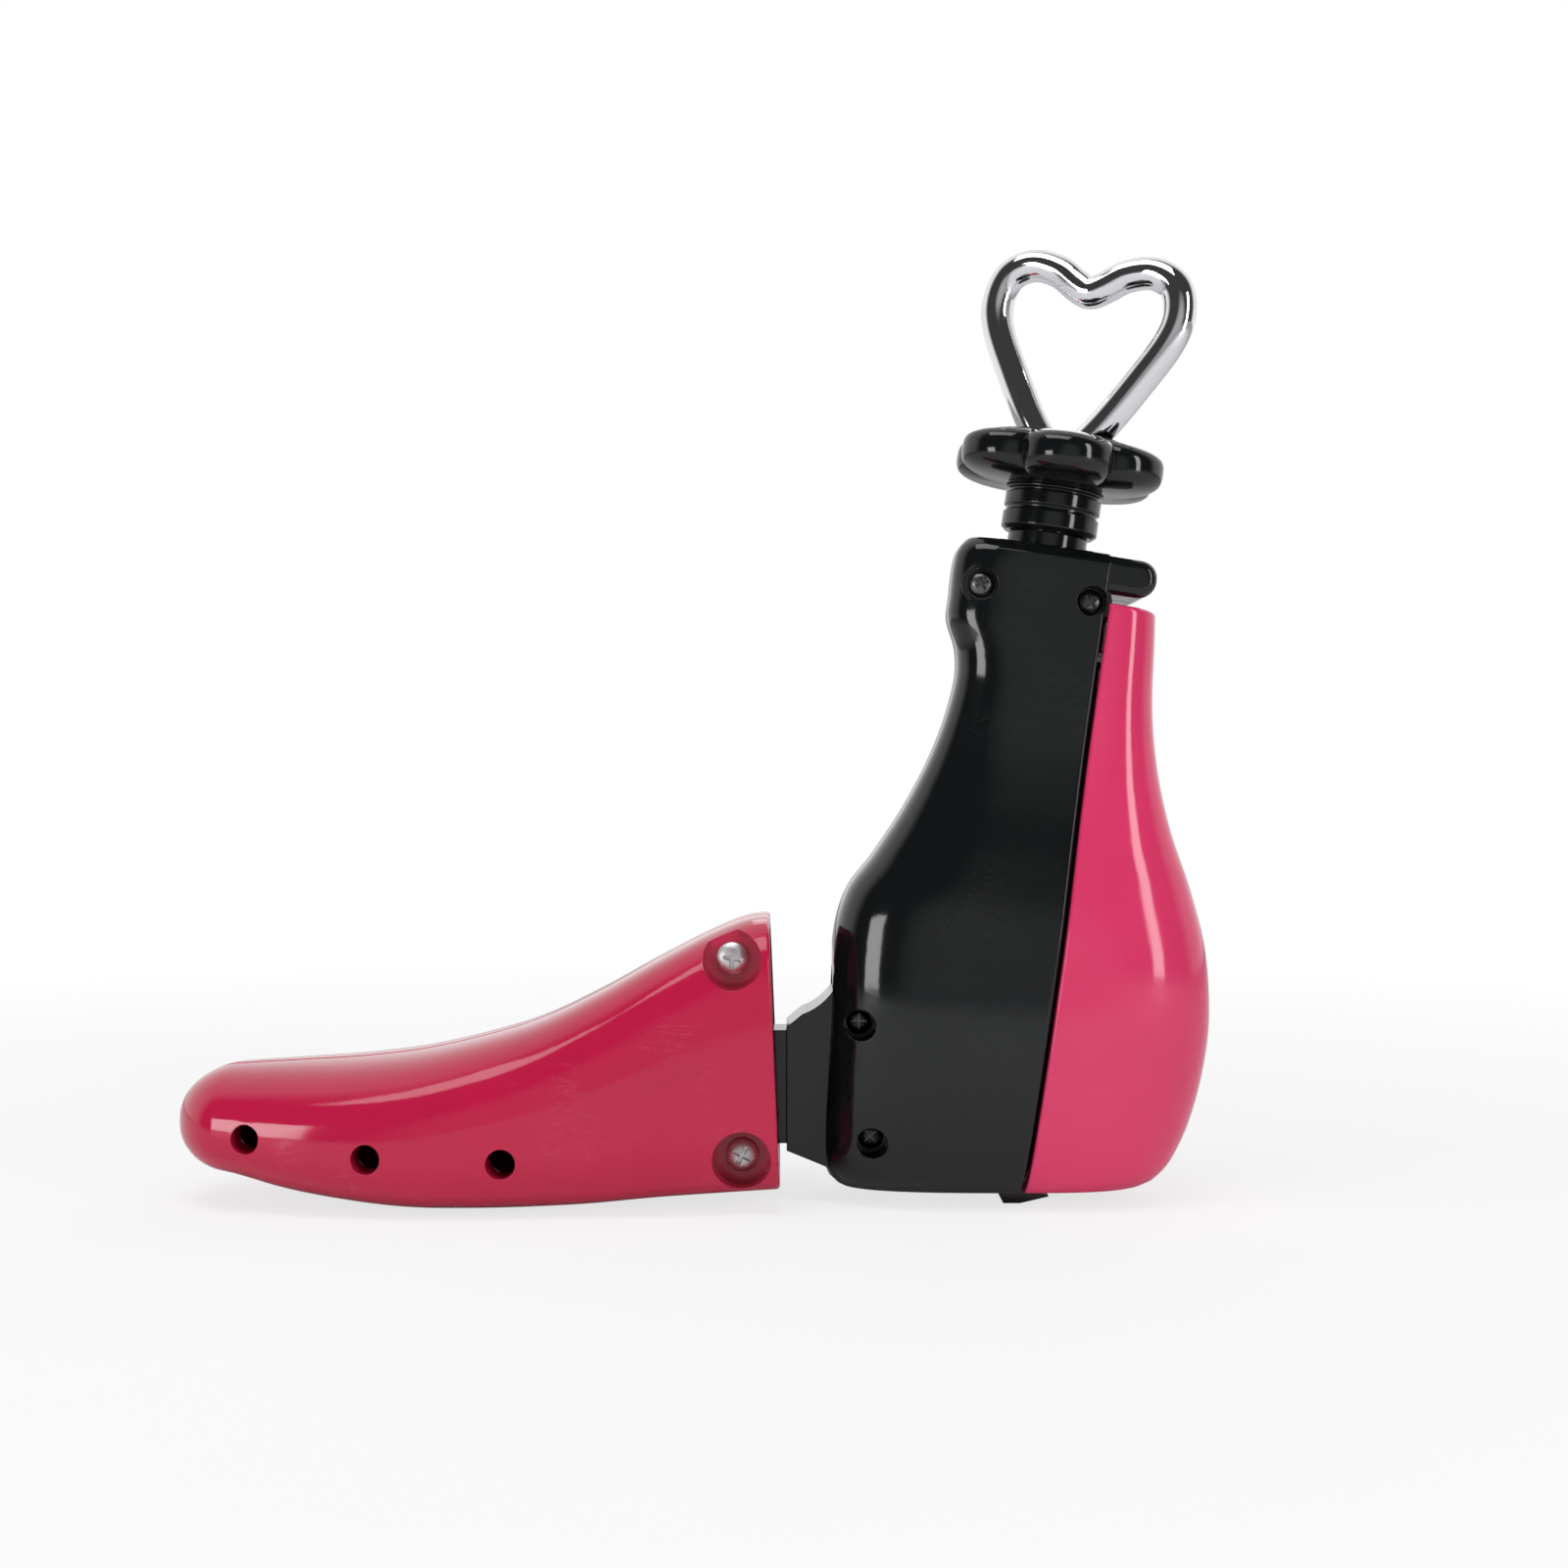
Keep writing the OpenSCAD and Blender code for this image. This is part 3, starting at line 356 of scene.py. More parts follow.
def lathe(bm, profile, matrix, segments=64):
    """Turns a profile of radius and height round the z axis of a matrix."""
    rings = []
    for radius, height in profile:
        if radius < 1e-9:
            rings.append(add_points(bm, [matrix @ Vector((0, 0, height))]) * segments)
            continue
        angles = [TAU * k / segments for k in range(segments)]
        rings.append(add_points(bm, [
            matrix @ Vector((radius * math.cos(a), radius * math.sin(a), height)) for a in angles
        ]))
    quads(bm, rings, closed=profile[0][0] > 1e-9)


def soften(profile, radius, steps=4):
    """Rounds the corners of a profile."""
    points = [np.array(p, float) for p in profile]
    closed = profile[0][0] > 1e-9
    result = [] if closed else [tuple(points[0])]
    for i in range(0 if closed else 1, len(points) if closed else len(points) - 1):
        p, a, b = points[i], points[i - 1], points[(i + 1) % len(points)]
        u, v = a - p, b - p
        lu, lv = np.linalg.norm(u), np.linalg.norm(v)
        r = min(radius, lu * 0.45, lv * 0.45)
        start, stop = p + u / lu * r, p + v / lv * r
        for k in range(steps + 1):
            t = k / steps
            result.append(tuple((1 - t) ** 2 * start + 2 * t * (1 - t) * p + t**2 * stop))
    if not closed:
        result.append(tuple(points[-1]))
    return result


def across(x, z):
    """Matrix whose z axis runs outward to the near side of the stretcher."""
    return Matrix.Translation((x, 0, z)) @ Matrix.Rotation(math.radians(90), 4, "X")


def combine(first, second, operation="DIFFERENCE"):
    """Joins, cuts or intersects two closed meshes and returns the result."""
    made = []
    for bm in (first, second):
        bmesh.ops.remove_doubles(bm, verts=bm.verts, dist=1e-7)
        bmesh.ops.recalc_face_normals(bm, faces=bm.faces)
        made.append(mesh_object("work", bm))
    target, tool = made
    modifier = target.modifiers.new("Combine", "BOOLEAN")
    modifier.operation, modifier.solver, modifier.object = operation, "EXACT", tool
    graph = bpy.context.evaluated_depsgraph_get()
    result = bmesh.new()
    result.from_mesh(bpy.data.meshes.new_from_object(target.evaluated_get(graph)))
    for obj in made:
        bpy.data.objects.remove(obj)
    return result


def solid_rows(bm, rows):
    """A closed solid through rows of points, each row closed on itself."""
    rings = [add_points(bm, row) for row in rows]
    quads(bm, rings)
    add_face(bm, rings[0])
    add_face(bm, rings[-1])


def plug(bm, matrix, radius, low, high, segments=96):
    """A closed cylinder between two heights of a matrix."""
    lathe(bm, [(0, low), (radius, low), (radius, high), (0, high)], matrix, segments)


def add_piece(name, bm, slot_name, body, node, **look):
    """A finished piece in place of a node, riding on a body."""
    piece = new_object(name, bm, finish_of(slot_name), **look)
    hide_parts(node)
    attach(piece, body)
    return piece


def add_both(name, near, slot_name, body, node):
    """A piece on the near side and its twin on the far side; {} in the names is the side."""
    far = near.copy()
    for vert in far.verts:
        vert.co.y = -vert.co.y
    bmesh.ops.reverse_faces(far, faces=far.faces)
    for side, bm in (("near", near), ("far", far)):
        add_piece(name.format(side), bm, slot_name, body.format(side), node.format(side))


class Value:
    """A socket that takes part in arithmetic by adding Math nodes."""

    def __init__(self, nodes, socket):
        self.nodes, self.socket = nodes, socket

    def maths(self, operation, *values):
        return self.nodes.add("Math", {"operation": operation}, dict(enumerate(values)))

    def __add__(self, other):
        return self.maths("ADD", self, other)

    def __sub__(self, other):
        return self.maths("SUBTRACT", self, other)

    def __rsub__(self, other):
        return self.maths("SUBTRACT", other, self)

    def __mul__(self, other):
        return self.maths("MULTIPLY", self, other)

    def __truediv__(self, other):
        return self.maths("DIVIDE", self, other)

    def __pow__(self, other):
        return self.maths("POWER", self, other)

    def __abs__(self):
        return self.maths("ABSOLUTE", self)

    def or_more(self, other):
        return self.maths("MAXIMUM", self, other)

    def limited(self):
        return self.nodes.add("Clamp", {}, {"Value": self})


class Nodes:
    """A node tree under construction."""

    def __init__(self, tree):
        self.tree = tree
        tree.nodes.clear()

    def add(self, kind, settings=None, inputs=None, out=0):
        """Adds a node, a shader node unless its kind says more, and fills its sockets."""
        node = self.tree.nodes.new(kind if "Node" in kind else "ShaderNode" + kind)
        for key, value in (settings or {}).items():
            if key == "stops":
                stops = node.color_ramp.elements
                for k, (place, shade) in enumerate(value):
                    stop = stops[k] if k < len(stops) else stops.new(place)
                    stop.position, stop.color = place, shade
            else:
                setattr(node, key, value)
        for key, value in (inputs or {}).items():
            for one in value if isinstance(value, list) else [value]:
                if isinstance(one, Value):
                    self.tree.links.new(one.socket, node.inputs[key])
                else:
                    node.inputs[key].default_value = one
        return Value(self, node.outputs[out]) if len(node.outputs) else None


class Recipe(Nodes):
    """A node-based material under construction."""

    def __init__(self, name):
        self.material = bpy.data.materials.new(name)
        self.material.use_nodes = True
        super().__init__(self.material.node_tree)

    def noise(self, scale, detail=3.0, stretch=(1, 1, 1), turn=(0, 0, 0)):
        """Noise over object coordinates, stretched and turned."""
        spot = self.add("TexCoord", out="Object")
        spot = self.add("Mapping", {}, {"Vector": spot, "Scale": stretch, "Rotation": turn})
        return self.add("TexNoise", {}, {
            "Vector": spot, "Scale": scale, "Detail": detail, "Roughness": 0.55,
        }, out="Fac")

    def patches(self, scale, detail, start, gain):
        """The parts of a noise above a start value."""
        return ((self.noise(scale, detail) - start) * gain).limited()

    def mix(self, factor, a, b):
        a, b = ((*c, 1) if isinstance(c, tuple) else c for c in (a, b))
        return self.add("Mix", {"data_type": "RGBA"}, {0: factor, 6: a, 7: b}, out=2)

    def bump(self, height, strength, distance, edge=0.3 * MM):
        """A bump over softly rounded edges."""
        soft = self.add("Bevel", {"samples": 4}, {"Radius": edge})
        return self.add("Bump", {}, {
            "Height": height, "Strength": strength, "Distance": distance, "Normal": soft,
        })

    def made(self, shader):
        """The material, with a shader on its surface."""
        self.add("OutputMaterial", {}, {"Surface": shader})
        return self.material

    def surface(self, inputs):
        return self.made(self.add("BsdfPrincipled", {}, inputs))


def shade_of(base, factor):
    """A colour made darker or paler by a factor."""
    return tuple(min(1.0, c * factor) for c in base)


def scuff_lines(recipe, turn, stretch, width):
    """Fine straight scuffs: the narrow level bands of a stretched noise, in patches."""
    field = recipe.noise(1.0, 2.0, stretch, turn)
    line = (1 - abs(field - 0.5) * (1 / width)).limited()
    return line * recipe.patches(55.0, 2.0, 0.54, 7)


def moulded_plastic(name, base, wear):
    """Glossy moulded plastic: faint orange peel, slight clouding and fine scuffs."""
    r = Recipe(name)
    share, gloss = colours().scuffs * wear, 0.09
    cloud = r.noise(38.0)
    haze = r.patches(90.0, 4.0, 0.52, 4)
    scuffs = (
        scuff_lines(r, (0.3, 0.9, 0.5), (70, 640, 640), 0.022)
        + scuff_lines(r, (1.1, 0.2, 2.0), (560, 80, 560), 0.018)
    ).limited() * share
    tone = r.mix(cloud, shade_of(base, 0.9), shade_of(base, 1.08))
    pale = shade_of(tuple(c * 0.6 + 0.06 for c in base), 1.5)
    peel = r.noise(420.0, 2.0)
    return r.surface({
        "Base Color": r.mix(scuffs * 0.5, tone, pale),
        "Specular IOR Level": 0.45,
        "Roughness": (haze * (0.05 * share) + scuffs * 0.3 + gloss).limited(),
        "Normal": r.bump(peel - scuffs * 0.6, 0.035, 0.4 * MM),
        "IOR": 1.49,
    })


def satin_plastic(name, base):
    """Satin moulded plastic with a fine spark-eroded grain."""
    r = Recipe(name)
    cloud = r.noise(60.0)
    return r.surface({
        "Base Color": r.mix(cloud, shade_of(base, 0.85), shade_of(base, 1.25)),
        "Roughness": cloud * 0.12 + 0.42,
        "IOR": 1.15,
        "Normal": r.bump(r.noise(2600.0), 0.25, 0.1 * MM),
    })


def plated_metal(name, base):
    """Polished chrome plating with faint smears."""
    r = Recipe(name)
    smear = ((r.noise(45.0, 4.0, (1, 1, 3)) - 0.45) * 3).limited()
    return r.surface({
        "Base Color": r.mix(smear, base, shade_of(base, 0.94)),
        "Metallic": 1.0,
        "Roughness": smear * 0.05 + 0.035,
        "Normal": r.bump(r.noise(160.0, 1.5), 0.03, 0.5 * MM),
    })


def turned_metal(name, base, roughness):
    """Turned or drawn metal: tight lines round the shaft and a little tarnish."""
    r = Recipe(name)
    lines = r.noise(1.0, 2.0, (300, 300, 9000))
    tarnish = r.patches(120.0, 4.0, 0.5, 3)
    return r.surface({
        "Base Color": r.mix(tarnish, base, shade_of(base, 0.78)),
        "Metallic": 1.0,
        "Roughness": lines * 0.16 + tarnish * 0.1 + (roughness - 0.08),
        "Normal": r.bump(lines, 0.12, 0.1 * MM),
    })


def cast_metal(name, base):
    """Cast nut metal with a grainy skin."""
    r = Recipe(name)
    grain = r.noise(1400.0, 4.0)
    return r.surface({
        "Base Color": r.mix(r.noise(150.0, 4.0), shade_of(base, 0.7), shade_of(base, 1.1)),
        "Metallic": 1.0,
        "Roughness": grain * 0.2 + 0.3,
        "Normal": r.bump(grain, 0.35, 0.2 * MM),
    })


def make_materials():
    """The stretcher's finishes: material slot, recipe, colour and further values."""
    c = colours()
    for slot_name, recipe, base, *more in (
        ("toe_plastic", moulded_plastic, c.toe, 1.0),
        ("heel_plastic", moulded_plastic, c.heel, 0.5),
        ("black_plastic", moulded_plastic, c.body, 0.3),
        ("inner_plastic", satin_plastic, c.inner),
        ("chrome", plated_metal, c.chrome),
        ("screw_steel", turned_metal, c.screw, 0.42),
        ("dark_steel", turned_metal, c.oxide, 0.34),
        ("drive_steel", turned_metal, shade_of(c.screw, 0.95), 0.24),
        ("nut_metal", cast_metal, c.nut),
    ):
        recipe(slot_name, tuple(base), *more)["finish"] = slot_name


def finish_of(slot_name):
    """The finish of a material slot, made at its first use."""
    for material in bpy.data.materials:
        if material.get("finish") == slot_name:
            return material
    make_materials()
    return finish_of(slot_name)


def screw_hole(bm, matrix, radius, floor, low):
    """A recess with a flat floor and the narrow hole of a screw below it."""
    narrow = 1.6 * MM
    profile = [(0, low), (narrow, low), (narrow, floor), (radius, floor)]
    lathe(bm, [*profile, (radius, OUTSIDE), (0, OUTSIDE)], matrix, 96)


def front_face():
    """Place of the body's front where it faces the toe."""
    level = FACING * sizes().body_height
    return (spindle_frame() @ Vector((-body_front(level), 0, level))).x


def toe_measures():
    """Tip and length of the toe."""
    s = sizes()
    tip = -s.total_length / 2
    return tip, front_face() - s.toe_gap - tip


def toe_section(t):
    """Middle, half height, half width, share of the nose and power of the toe at a place."""
    s = sizes()
    low, high = (curve(TOE_PROFILE, k, t) * s.toe_height for k in (1, 2))
    wide = curve(TOE_PROFILE, 3, t) * s.toe_width / 2
    nose = math.sqrt(1 - (1 - min(t / NOSE, 1)) ** 2)
    return (low + high) / 2, (high - low) / 2, wide, nose, 0.8 - 0.42 * t


def toe_row(t, inset, shift, rounded=False):
    """One cross-section of the near toe half, from the top of the split line to its bottom."""
    s = sizes()
    tip, long = toe_measures()
    mid, high, wide, nose, power = toe_section(t)
    nose, least = max(nose, BLUNT_TIP), 0.5 * MM
    wide, high = max(wide * nose - inset, least), max(high * nose - inset, least)
    cosine, sine = half_turn()
    z = mid + np.sign(sine) * np.abs(sine) ** power * high
    out = wide * np.maximum(cosine, 0) ** power * (1 - TOE_TAPER * sine)
    out[0] = out[-1] = 0
    x = tip + t * long + shift * (1 - t) - REAR_SLANT * (z / s.toe_height) * t**4
    line = even(np.column_stack([x, -out - s.split / 2, z]), 44)
    if rounded:
        rounding = fillet(-line[:, 1] - s.split / 2, min(s.edge, high))
        line[:, 2] -= np.sign(line[:, 2] - mid) * rounding
    return line


def toe_face(x, z):
    """Half width of the toe's side at a place, from the split line."""
    tip, long = toe_measures()
    mid, high, wide, nose, power = toe_section(min(max((x - tip) / long, 0), 1))
    level = max(-1, min(1, (z - mid) / (high * nose)))
    sine = math.copysign(abs(level) ** (1 / power), level)
    return wide * nose * math.sqrt(max(1 - sine**2, 0)) ** power * (1 - TOE_TAPER * sine)


def toe_places():
    """Plug holes and screw recesses of the toe, as places on its side."""
    high = sizes().toe_height
    tip, long = toe_measures()
    plugs = [(tip + behind * MM, z * MM) for behind, z in PLUGS]
    return plugs, [(tip + long - 10 * MM, high * 0.862), (tip + long - 8 * MM, high * 0.19)]


def toe_half_mesh():
    """The near toe half: a rounded shell with bosses, plug holes and screw recesses."""
    s = sizes()
    long = toe_measures()[1]
    rim = [1 - d * MM / long for d in CLOSE[::-1]]
    stations = [(i / LEVELS) ** 1.7 for i in range(LEVELS)]
    stations = [t for t in stations if t < rim[0] - 0.004] + rim
    outer = [toe_row(t, float(fillet((1 - t) * long, s.edge)), 0, True) for t in stations]
    inner = [toe_row(t, s.toe_wall, s.toe_wall * 1.4) for t in stations]
    toe, core, bosses, holes, collars = (bmesh.new() for _ in range(5))
    shell(toe, outer, inner, rim=True)
    solid_rows(core, [toe_row(t, MM, 0) for t in stations if t > 0.7])
    plugs, screws = toe_places()
    recess, hole, floor, wall = s.toe_recess / 2, s.plug_hole / 2, 15.5 * MM, 1.6 * MM
    for x, z in screws:
        plug(bosses, across(x, z), recess + wall, floor - 2.2 * MM, OUTSIDE - MM)
        screw_hole(holes, across(x, z), recess, floor, 5 * MM)
    toe = combine(toe, combine(bosses, core, "INTERSECT"), "UNION")
    for x, z in plugs:
        r = hole + wall
        around = np.linspace(0, TAU, 24)
        seat = min(toe_face(x + r * math.cos(a), z + r * math.sin(a)) for a in around)
        seat -= 1.2 * MM
        plug(collars, across(x, z), r, seat - 5.8 * MM, seat)
        plug(holes, across(x, z), hole, 5 * MM, OUTSIDE)
    return combine(combine(toe, collars, "UNION"), holes)


class STRETCHER_OT_toe(bpy.types.Operator):
    """Adds the two halves of the toe"""

    bl_idname = "stretcher.toe"
    bl_label = "Toe halves"

    def execute(self, context):
        add_both("toe_shell_{}", toe_half_mesh(), "toe_plastic", "toe_{}", "toe_half_{}")
        return {"FINISHED"}


def side_width(level):
    """Half width of body and heel at a height on the spindle."""
    s = sizes()
    return curve(HEEL_PROFILE, 2, level / s.body_height) * s.body_width / 2


def tilt_at(level):
    """Turn of the lowest sections towards the floor."""
    return sizes().lean * min(max(1 - (level - BODY_FOOT) / (30 * MM), 0), 1)


def body_front(level):
    """Distance of the body's front from the spindle at a height."""
    s = sizes()
    return curve(FRONT_PROFILE, 1, level / s.body_height) * s.body_height


def body_row(level, raised, inset, rounded=False):
    """One section of the near body shell, from the front of the split line to the rear rim."""
    s = sizes()
    crown = 1 - 0.28 * max(1 - (s.body_height - level) / (3 * MM), 0) ** 2
    w = side_width(level) * crown - inset - s.split / 2
    deep = body_front(level) + s.rim - inset
    q = quarter()
    x = s.rim - deep * np.cos(q) ** BODY_DEPTH_POWER
    x[-1] = s.rim
    y = -w * np.sin(q) ** BODY_WIDTH_POWER - s.split / 2
    line = even(np.column_stack([x, y, np.zeros_like(x)]), 40)
    if rounded:
        front = fillet(-line[:, 1] - s.split / 2, s.edge)
        line[:, 1] += fillet(s.rim - line[:, 0], s.edge)
        line[:, 0] += front
    line[:, 2] = raised + line[:, 0] * math.tan(tilt_at(level))
    return line


def body_inner_side(level, x):
    """Half width inside the body's wall, at a height and a distance from the spindle."""
    s = sizes()
    c = (s.rim - x) / (body_front(level) + s.rim - s.body_wall)
    share = max(1 - min(max(c, 0), 1) ** (2 / BODY_DEPTH_POWER), 0)
    return (side_width(level) - s.body_wall) * share ** (BODY_WIDTH_POWER / 2)


def body_screw_places():
    """Screw recesses of the body, as distances from the spindle and heights along it."""
    s = sizes()
    h = s.body_height
    fronts = ((6.2 * MM, h - 10.4 * MM), (6.3 * MM, 22.8 * MM), (9.7 * MM, -0.8 * MM))
    places = [(behind - body_front(z), z) for behind, z in fronts]
    places.insert(1, (s.rim - 2.9 * MM, h - 10.8 * MM))
    return places


def end_levels(low, high):
    """Heights from low to high, closer together at both ends, with the distance to the end."""
    close = [d * MM for d in CLOSE]
    middle = np.linspace(low + close[-1], high - close[-1], LEVELS)[1:-1]
    levels = [low + d for d in close] + list(middle) + [high - d for d in reversed(close)]
    return [(v, min(v - low, high - v)) for v in levels]


def wall_rows(row, foot, top, wall, edge):
    """Outer and inner sections of a hollow block between two heights."""
    outer, inner = [], []
    for level, depth in end_levels(foot, top):
        outer.append(row(level, level, float(fillet(depth, edge)), True))
        share = (level - foot) / (top - foot)
        inner.append(row(level, foot + wall + share * (top - foot - 2 * wall), wall))
    return outer, inner


def body_shell_mesh():
    """The near half of the body, with its recesses, beak, neck bore, lip and pockets."""
    s = sizes()
    foot, top, wall, recess = BODY_FOOT, s.body_height, s.body_wall, s.body_recess / 2
    corners = [
        Vector((s.rim, -s.split / 2, v + s.rim * math.tan(tilt_at(base))))
        for v, base in ((foot, foot), (top, top), (foot + wall, foot), (top - wall, top))
    ]
    body, bosses, holes, nose, neck, lip = (bmesh.new() for _ in range(6))
    shell(body, *wall_rows(body_row, foot, top, wall, s.edge), corners=corners)
    for x, z in body_screw_places():
        seat = max(body_inner_side(z, x - recess) + 0.8 * MM, 9.5 * MM)
        plug(bosses, across(x, z), recess + 1.1 * MM, s.split / 2 + CLEAR, seat, 72)
        screw_hole(holes, across(x, z), recess, 8 * MM, -MM)
    beak(nose)
    plug(neck, Matrix.Translation((0, 0, top)), 8.55 * MM, -wall - 6 * MM, 14 * MM)
    body = combine(combine(body, bosses, "UNION"), nose, "UNION")
    body = combine(combine(body, holes), neck)
    body.transform(spindle_frame())
    heel_lip(lip)
    body = combine(body, lip, "UNION")
    face = front_face()
    for deep, half, low, high in POCKETS:
        pocket = bmesh.new()
        square = ((-half, low), (-half, high), (half, high), (half, low))
        solid_rows(pocket, [
            [(x, y * MM, z * MM) for y, z in square] for x in (face - 30 * MM, face + deep * MM)
        ])
        body = combine(body, pocket)
    return body


def beak(bm):
    """The near half of the beak over the heel's top."""
    s = sizes()
    low, high = s.body_height - 8.6 * MM, s.body_height - 0.6 * MM
    wide = side_width(s.body_height - 5 * MM) - 0.6 * MM
    centre, radius, side = 19.2 * MM, 3.8 * MM, 2.2 * MM
    start = s.rim - 1.5 * MM

    def section(grow):
        points = [(start, low - grow), (start, high + grow)]
        for z, first in ((high - radius, 90), (low + radius, 0)):
            for k in range(9):
                a = math.radians(first - 90 * k / 8)
                r = radius + grow
                points.append((centre + r * math.cos(a), z + r * math.sin(a)))
        return points

    rows = [(s.split / 2 + CLEAR, 0.0)]
    for a in np.radians(range(0, 91, 15)):
        rows.append((wide - side * (1 - math.sin(a)), -side * (1 - math.cos(a))))
    solid_rows(bm, [[(x, -y, z) for x, z in section(grow)] for y, grow in rows])


def heel_lip(bm):
    """The near half of the lip that the stretcher's heel end stands on."""
    s = sizes()
    start = (spindle_frame() @ Vector((s.rim, 0, BODY_FOOT))).x - 4 * MM
    solid_rows(bm, [
        [(start + x * MM, y, z * MM) for x, z in LIP]
        for y in (-9 * MM - s.split / 2, -s.split / 2 - CLEAR)
    ])


class STRETCHER_OT_body(bpy.types.Operator):
    """Adds the two shells of the body with their rim, beak and lip"""

    bl_idname = "stretcher.body"
    bl_label = "Body shells"

    def execute(self, context):
        add_both("body_cover_{}", body_shell_mesh(), "black_plastic", "root", "body_shell_{}")
        return {"FINISHED"}


def heel_row(level, raised, inset, rounded=False):
    """One section of the heel block, round its back from one front edge to the other."""
    s = sizes()
    front = s.rim + 0.9 * MM
    w = side_width(level) - inset
    reach = curve(HEEL_PROFILE, 1, level / s.body_height) * s.heel_reach
    cosine, sine = half_turn()
    cosine[0] = cosine[-1] = 0
    x = front + (reach - front - inset) * np.maximum(cosine, 0) ** HEEL_POWER
    y = -w * np.sign(sine) * np.abs(sine) ** HEEL_POWER
    line = even(np.column_stack([x, y, np.zeros_like(x)]), 64)
    if rounded:
        line[:, 1] -= np.sign(line[:, 1]) * fillet(line[:, 0] - front, s.edge)
    line[:, 2] = raised + line[:, 0] * math.tan(tilt_at(level))
    return line


def heel_mesh():
    """The hollow heel block."""
    s = sizes()
    heel = bmesh.new()
    top = s.body_height - 10.6 * MM
    shell(heel, *wall_rows(heel_row, BODY_FOOT, top, s.heel_wall, 1.1 * MM))
    heel.transform(spindle_frame())
    return heel


class STRETCHER_OT_heel(bpy.types.Operator):
    """Adds the hollow heel block"""

    bl_idname = "stretcher.heel"
    bl_label = "Heel block"

    def execute(self, context):
        add_piece("heel_shell", heel_mesh(), "heel_plastic", "heel", "heel_block")
        return {"FINISHED"}


def knob_levels():
    """Foot of the hub and of the star knob, along the spindle."""
    hub = sizes().body_height + 3 * MM
    return hub, hub + 9.5 * MM


def star_mesh():
    """The star knob: rounded lobes round a flat dish."""
    s = sizes()
    foot, thick, bore = knob_levels()[1], s.knob_thickness, 3.05 * MM
    angles = np.linspace(0, TAU, s.lobes * 30, endpoint=False)
    dip = 1 - np.abs(np.cos(s.lobes * angles / 2 + math.pi / 2)) ** 0.8
    reach = s.knob / 2 - LOBE_DEPTH * dip
    rim, dish, end = 13.5 * MM, 12.5 * MM, 0.97
    rings = [(bore, 0)]
    for v in np.sin(np.linspace(-1, 1, 29) * math.pi / 2) * end:
        least = rim + 0.5 * MM if v > 0 else 0
        radius = np.maximum(reach * (1 - abs(v) ** 3.2) ** 0.28, least)
        rings.append((radius, thick / 2 * (1 + v / end)))
    rings += [(rim, thick), (rim - 0.2 * MM, thick - 0.25 * MM)]
    rings += [(dish, DISH_FLOOR), (bore, DISH_FLOOR)]
    star = bmesh.new()
    quads(star, [
        add_points(star, np.column_stack([
            radius * np.cos(angles), radius * np.sin(angles), np.full(len(angles), foot + z)
        ]))
        for radius, z in rings
    ], closed=True)
    star.transform(spindle_frame())
    return star


def hub_mesh():
    """The knob's hub, with a groove round its middle and a collar under the star."""
    low, high = knob_levels()
    r, bore = sizes().hub / 2, 5 * MM
    below = ((-0.9, 0), (0, 0.8), (0, 4), (-0.5, 4.3), (-0.5, 5), (0, 5.3))
    above = ((0, -1.4), (-0.8, -1.2), (-0.8, -0.7), (0.2, -0.5), (0.2, 0))
    high -= 0.02 * MM
    profile = [(r + dr * MM, low + z * MM) for dr, z in below]
    profile += [(r + dr * MM, high + z * MM) for dr, z in above]
    hub = bmesh.new()
    profile = soften([(bore, low), *profile, (bore, high)], 0.2 * MM, 3)
    lathe(hub, profile, spindle_frame(), 96)
    return hub


class STRETCHER_OT_knob(bpy.types.Operator):
    """Adds the star knob and its grooved hub"""

    bl_idname = "stretcher.knob"
    bl_label = "Star knob"

    def execute(self, context):
        add_piece("star_grip", star_mesh(), "black_plastic", "knob", "star_knob", sharp=40)
        add_piece("knob_collar", hub_mesh(), "black_plastic", "knob", "knob_hub")
        return {"FINISHED"}


def heart_path(width, height):
    """Smooth closed centre line of the heart, from its lowest point."""
    half = list(HEART_HALF)
    loop = np.array(half + [(-x, z) for x, z in half[-2:0:-1]])
    count, steps = len(loop), 14
    path = []
    for i in range(count):
        a, b, c, d = (loop[(i + k) % count] for k in (-1, 0, 1, 2))
        for u in (k / steps for k in range(steps)):
            path.append(b + (c - a) * u / 2 + (2 * a - 5 * b + 4 * c - d) * u**2 / 2
                        + (3 * b - a - 3 * c + d) * u**3 / 2)
    path = np.array(path) * (width / 2, height)
    smoothings = 6
    for _ in range(smoothings):
        path = path / 2 + (np.roll(path, 1, 0) + np.roll(path, -1, 0)) / 4
    return path


def heart_mesh(foot):
    """The heart's rod, standing on a foot level on the spindle."""
    s = sizes()
    rod = s.heart_rod / 2
    base = foot + 2.8 * MM + rod
    top = foot + s.knob_thickness + s.heart_height - rod
    path = heart_path(s.heart_width - 2 * rod, top - base)
    along = np.roll(path, -1, 0) - np.roll(path, 1, 0)
    normal = np.column_stack([along[:, 1], -along[:, 0]])
    normal /= np.linalg.norm(normal, axis=1)[:, None]
    angles = np.linspace(0, TAU, 32, endpoint=False)
    out, side = rod * np.cos(angles), rod * np.sin(angles)
    heart = bmesh.new()
    quads(heart, [
        add_points(heart, np.column_stack([p[0] + out * n[0], side, p[1] + out * n[1]]))
        for p, n in zip(path, normal)
    ], closed=True)
    turned, tipped = math.radians(-25), math.radians(2)
    turn = Matrix.Rotation(turned, 4, "Z") @ Matrix.Rotation(tipped, 4, "Y")
    heart.transform(spindle_frame() @ Matrix.Translation((0, 0, base)) @ turn)
    return heart


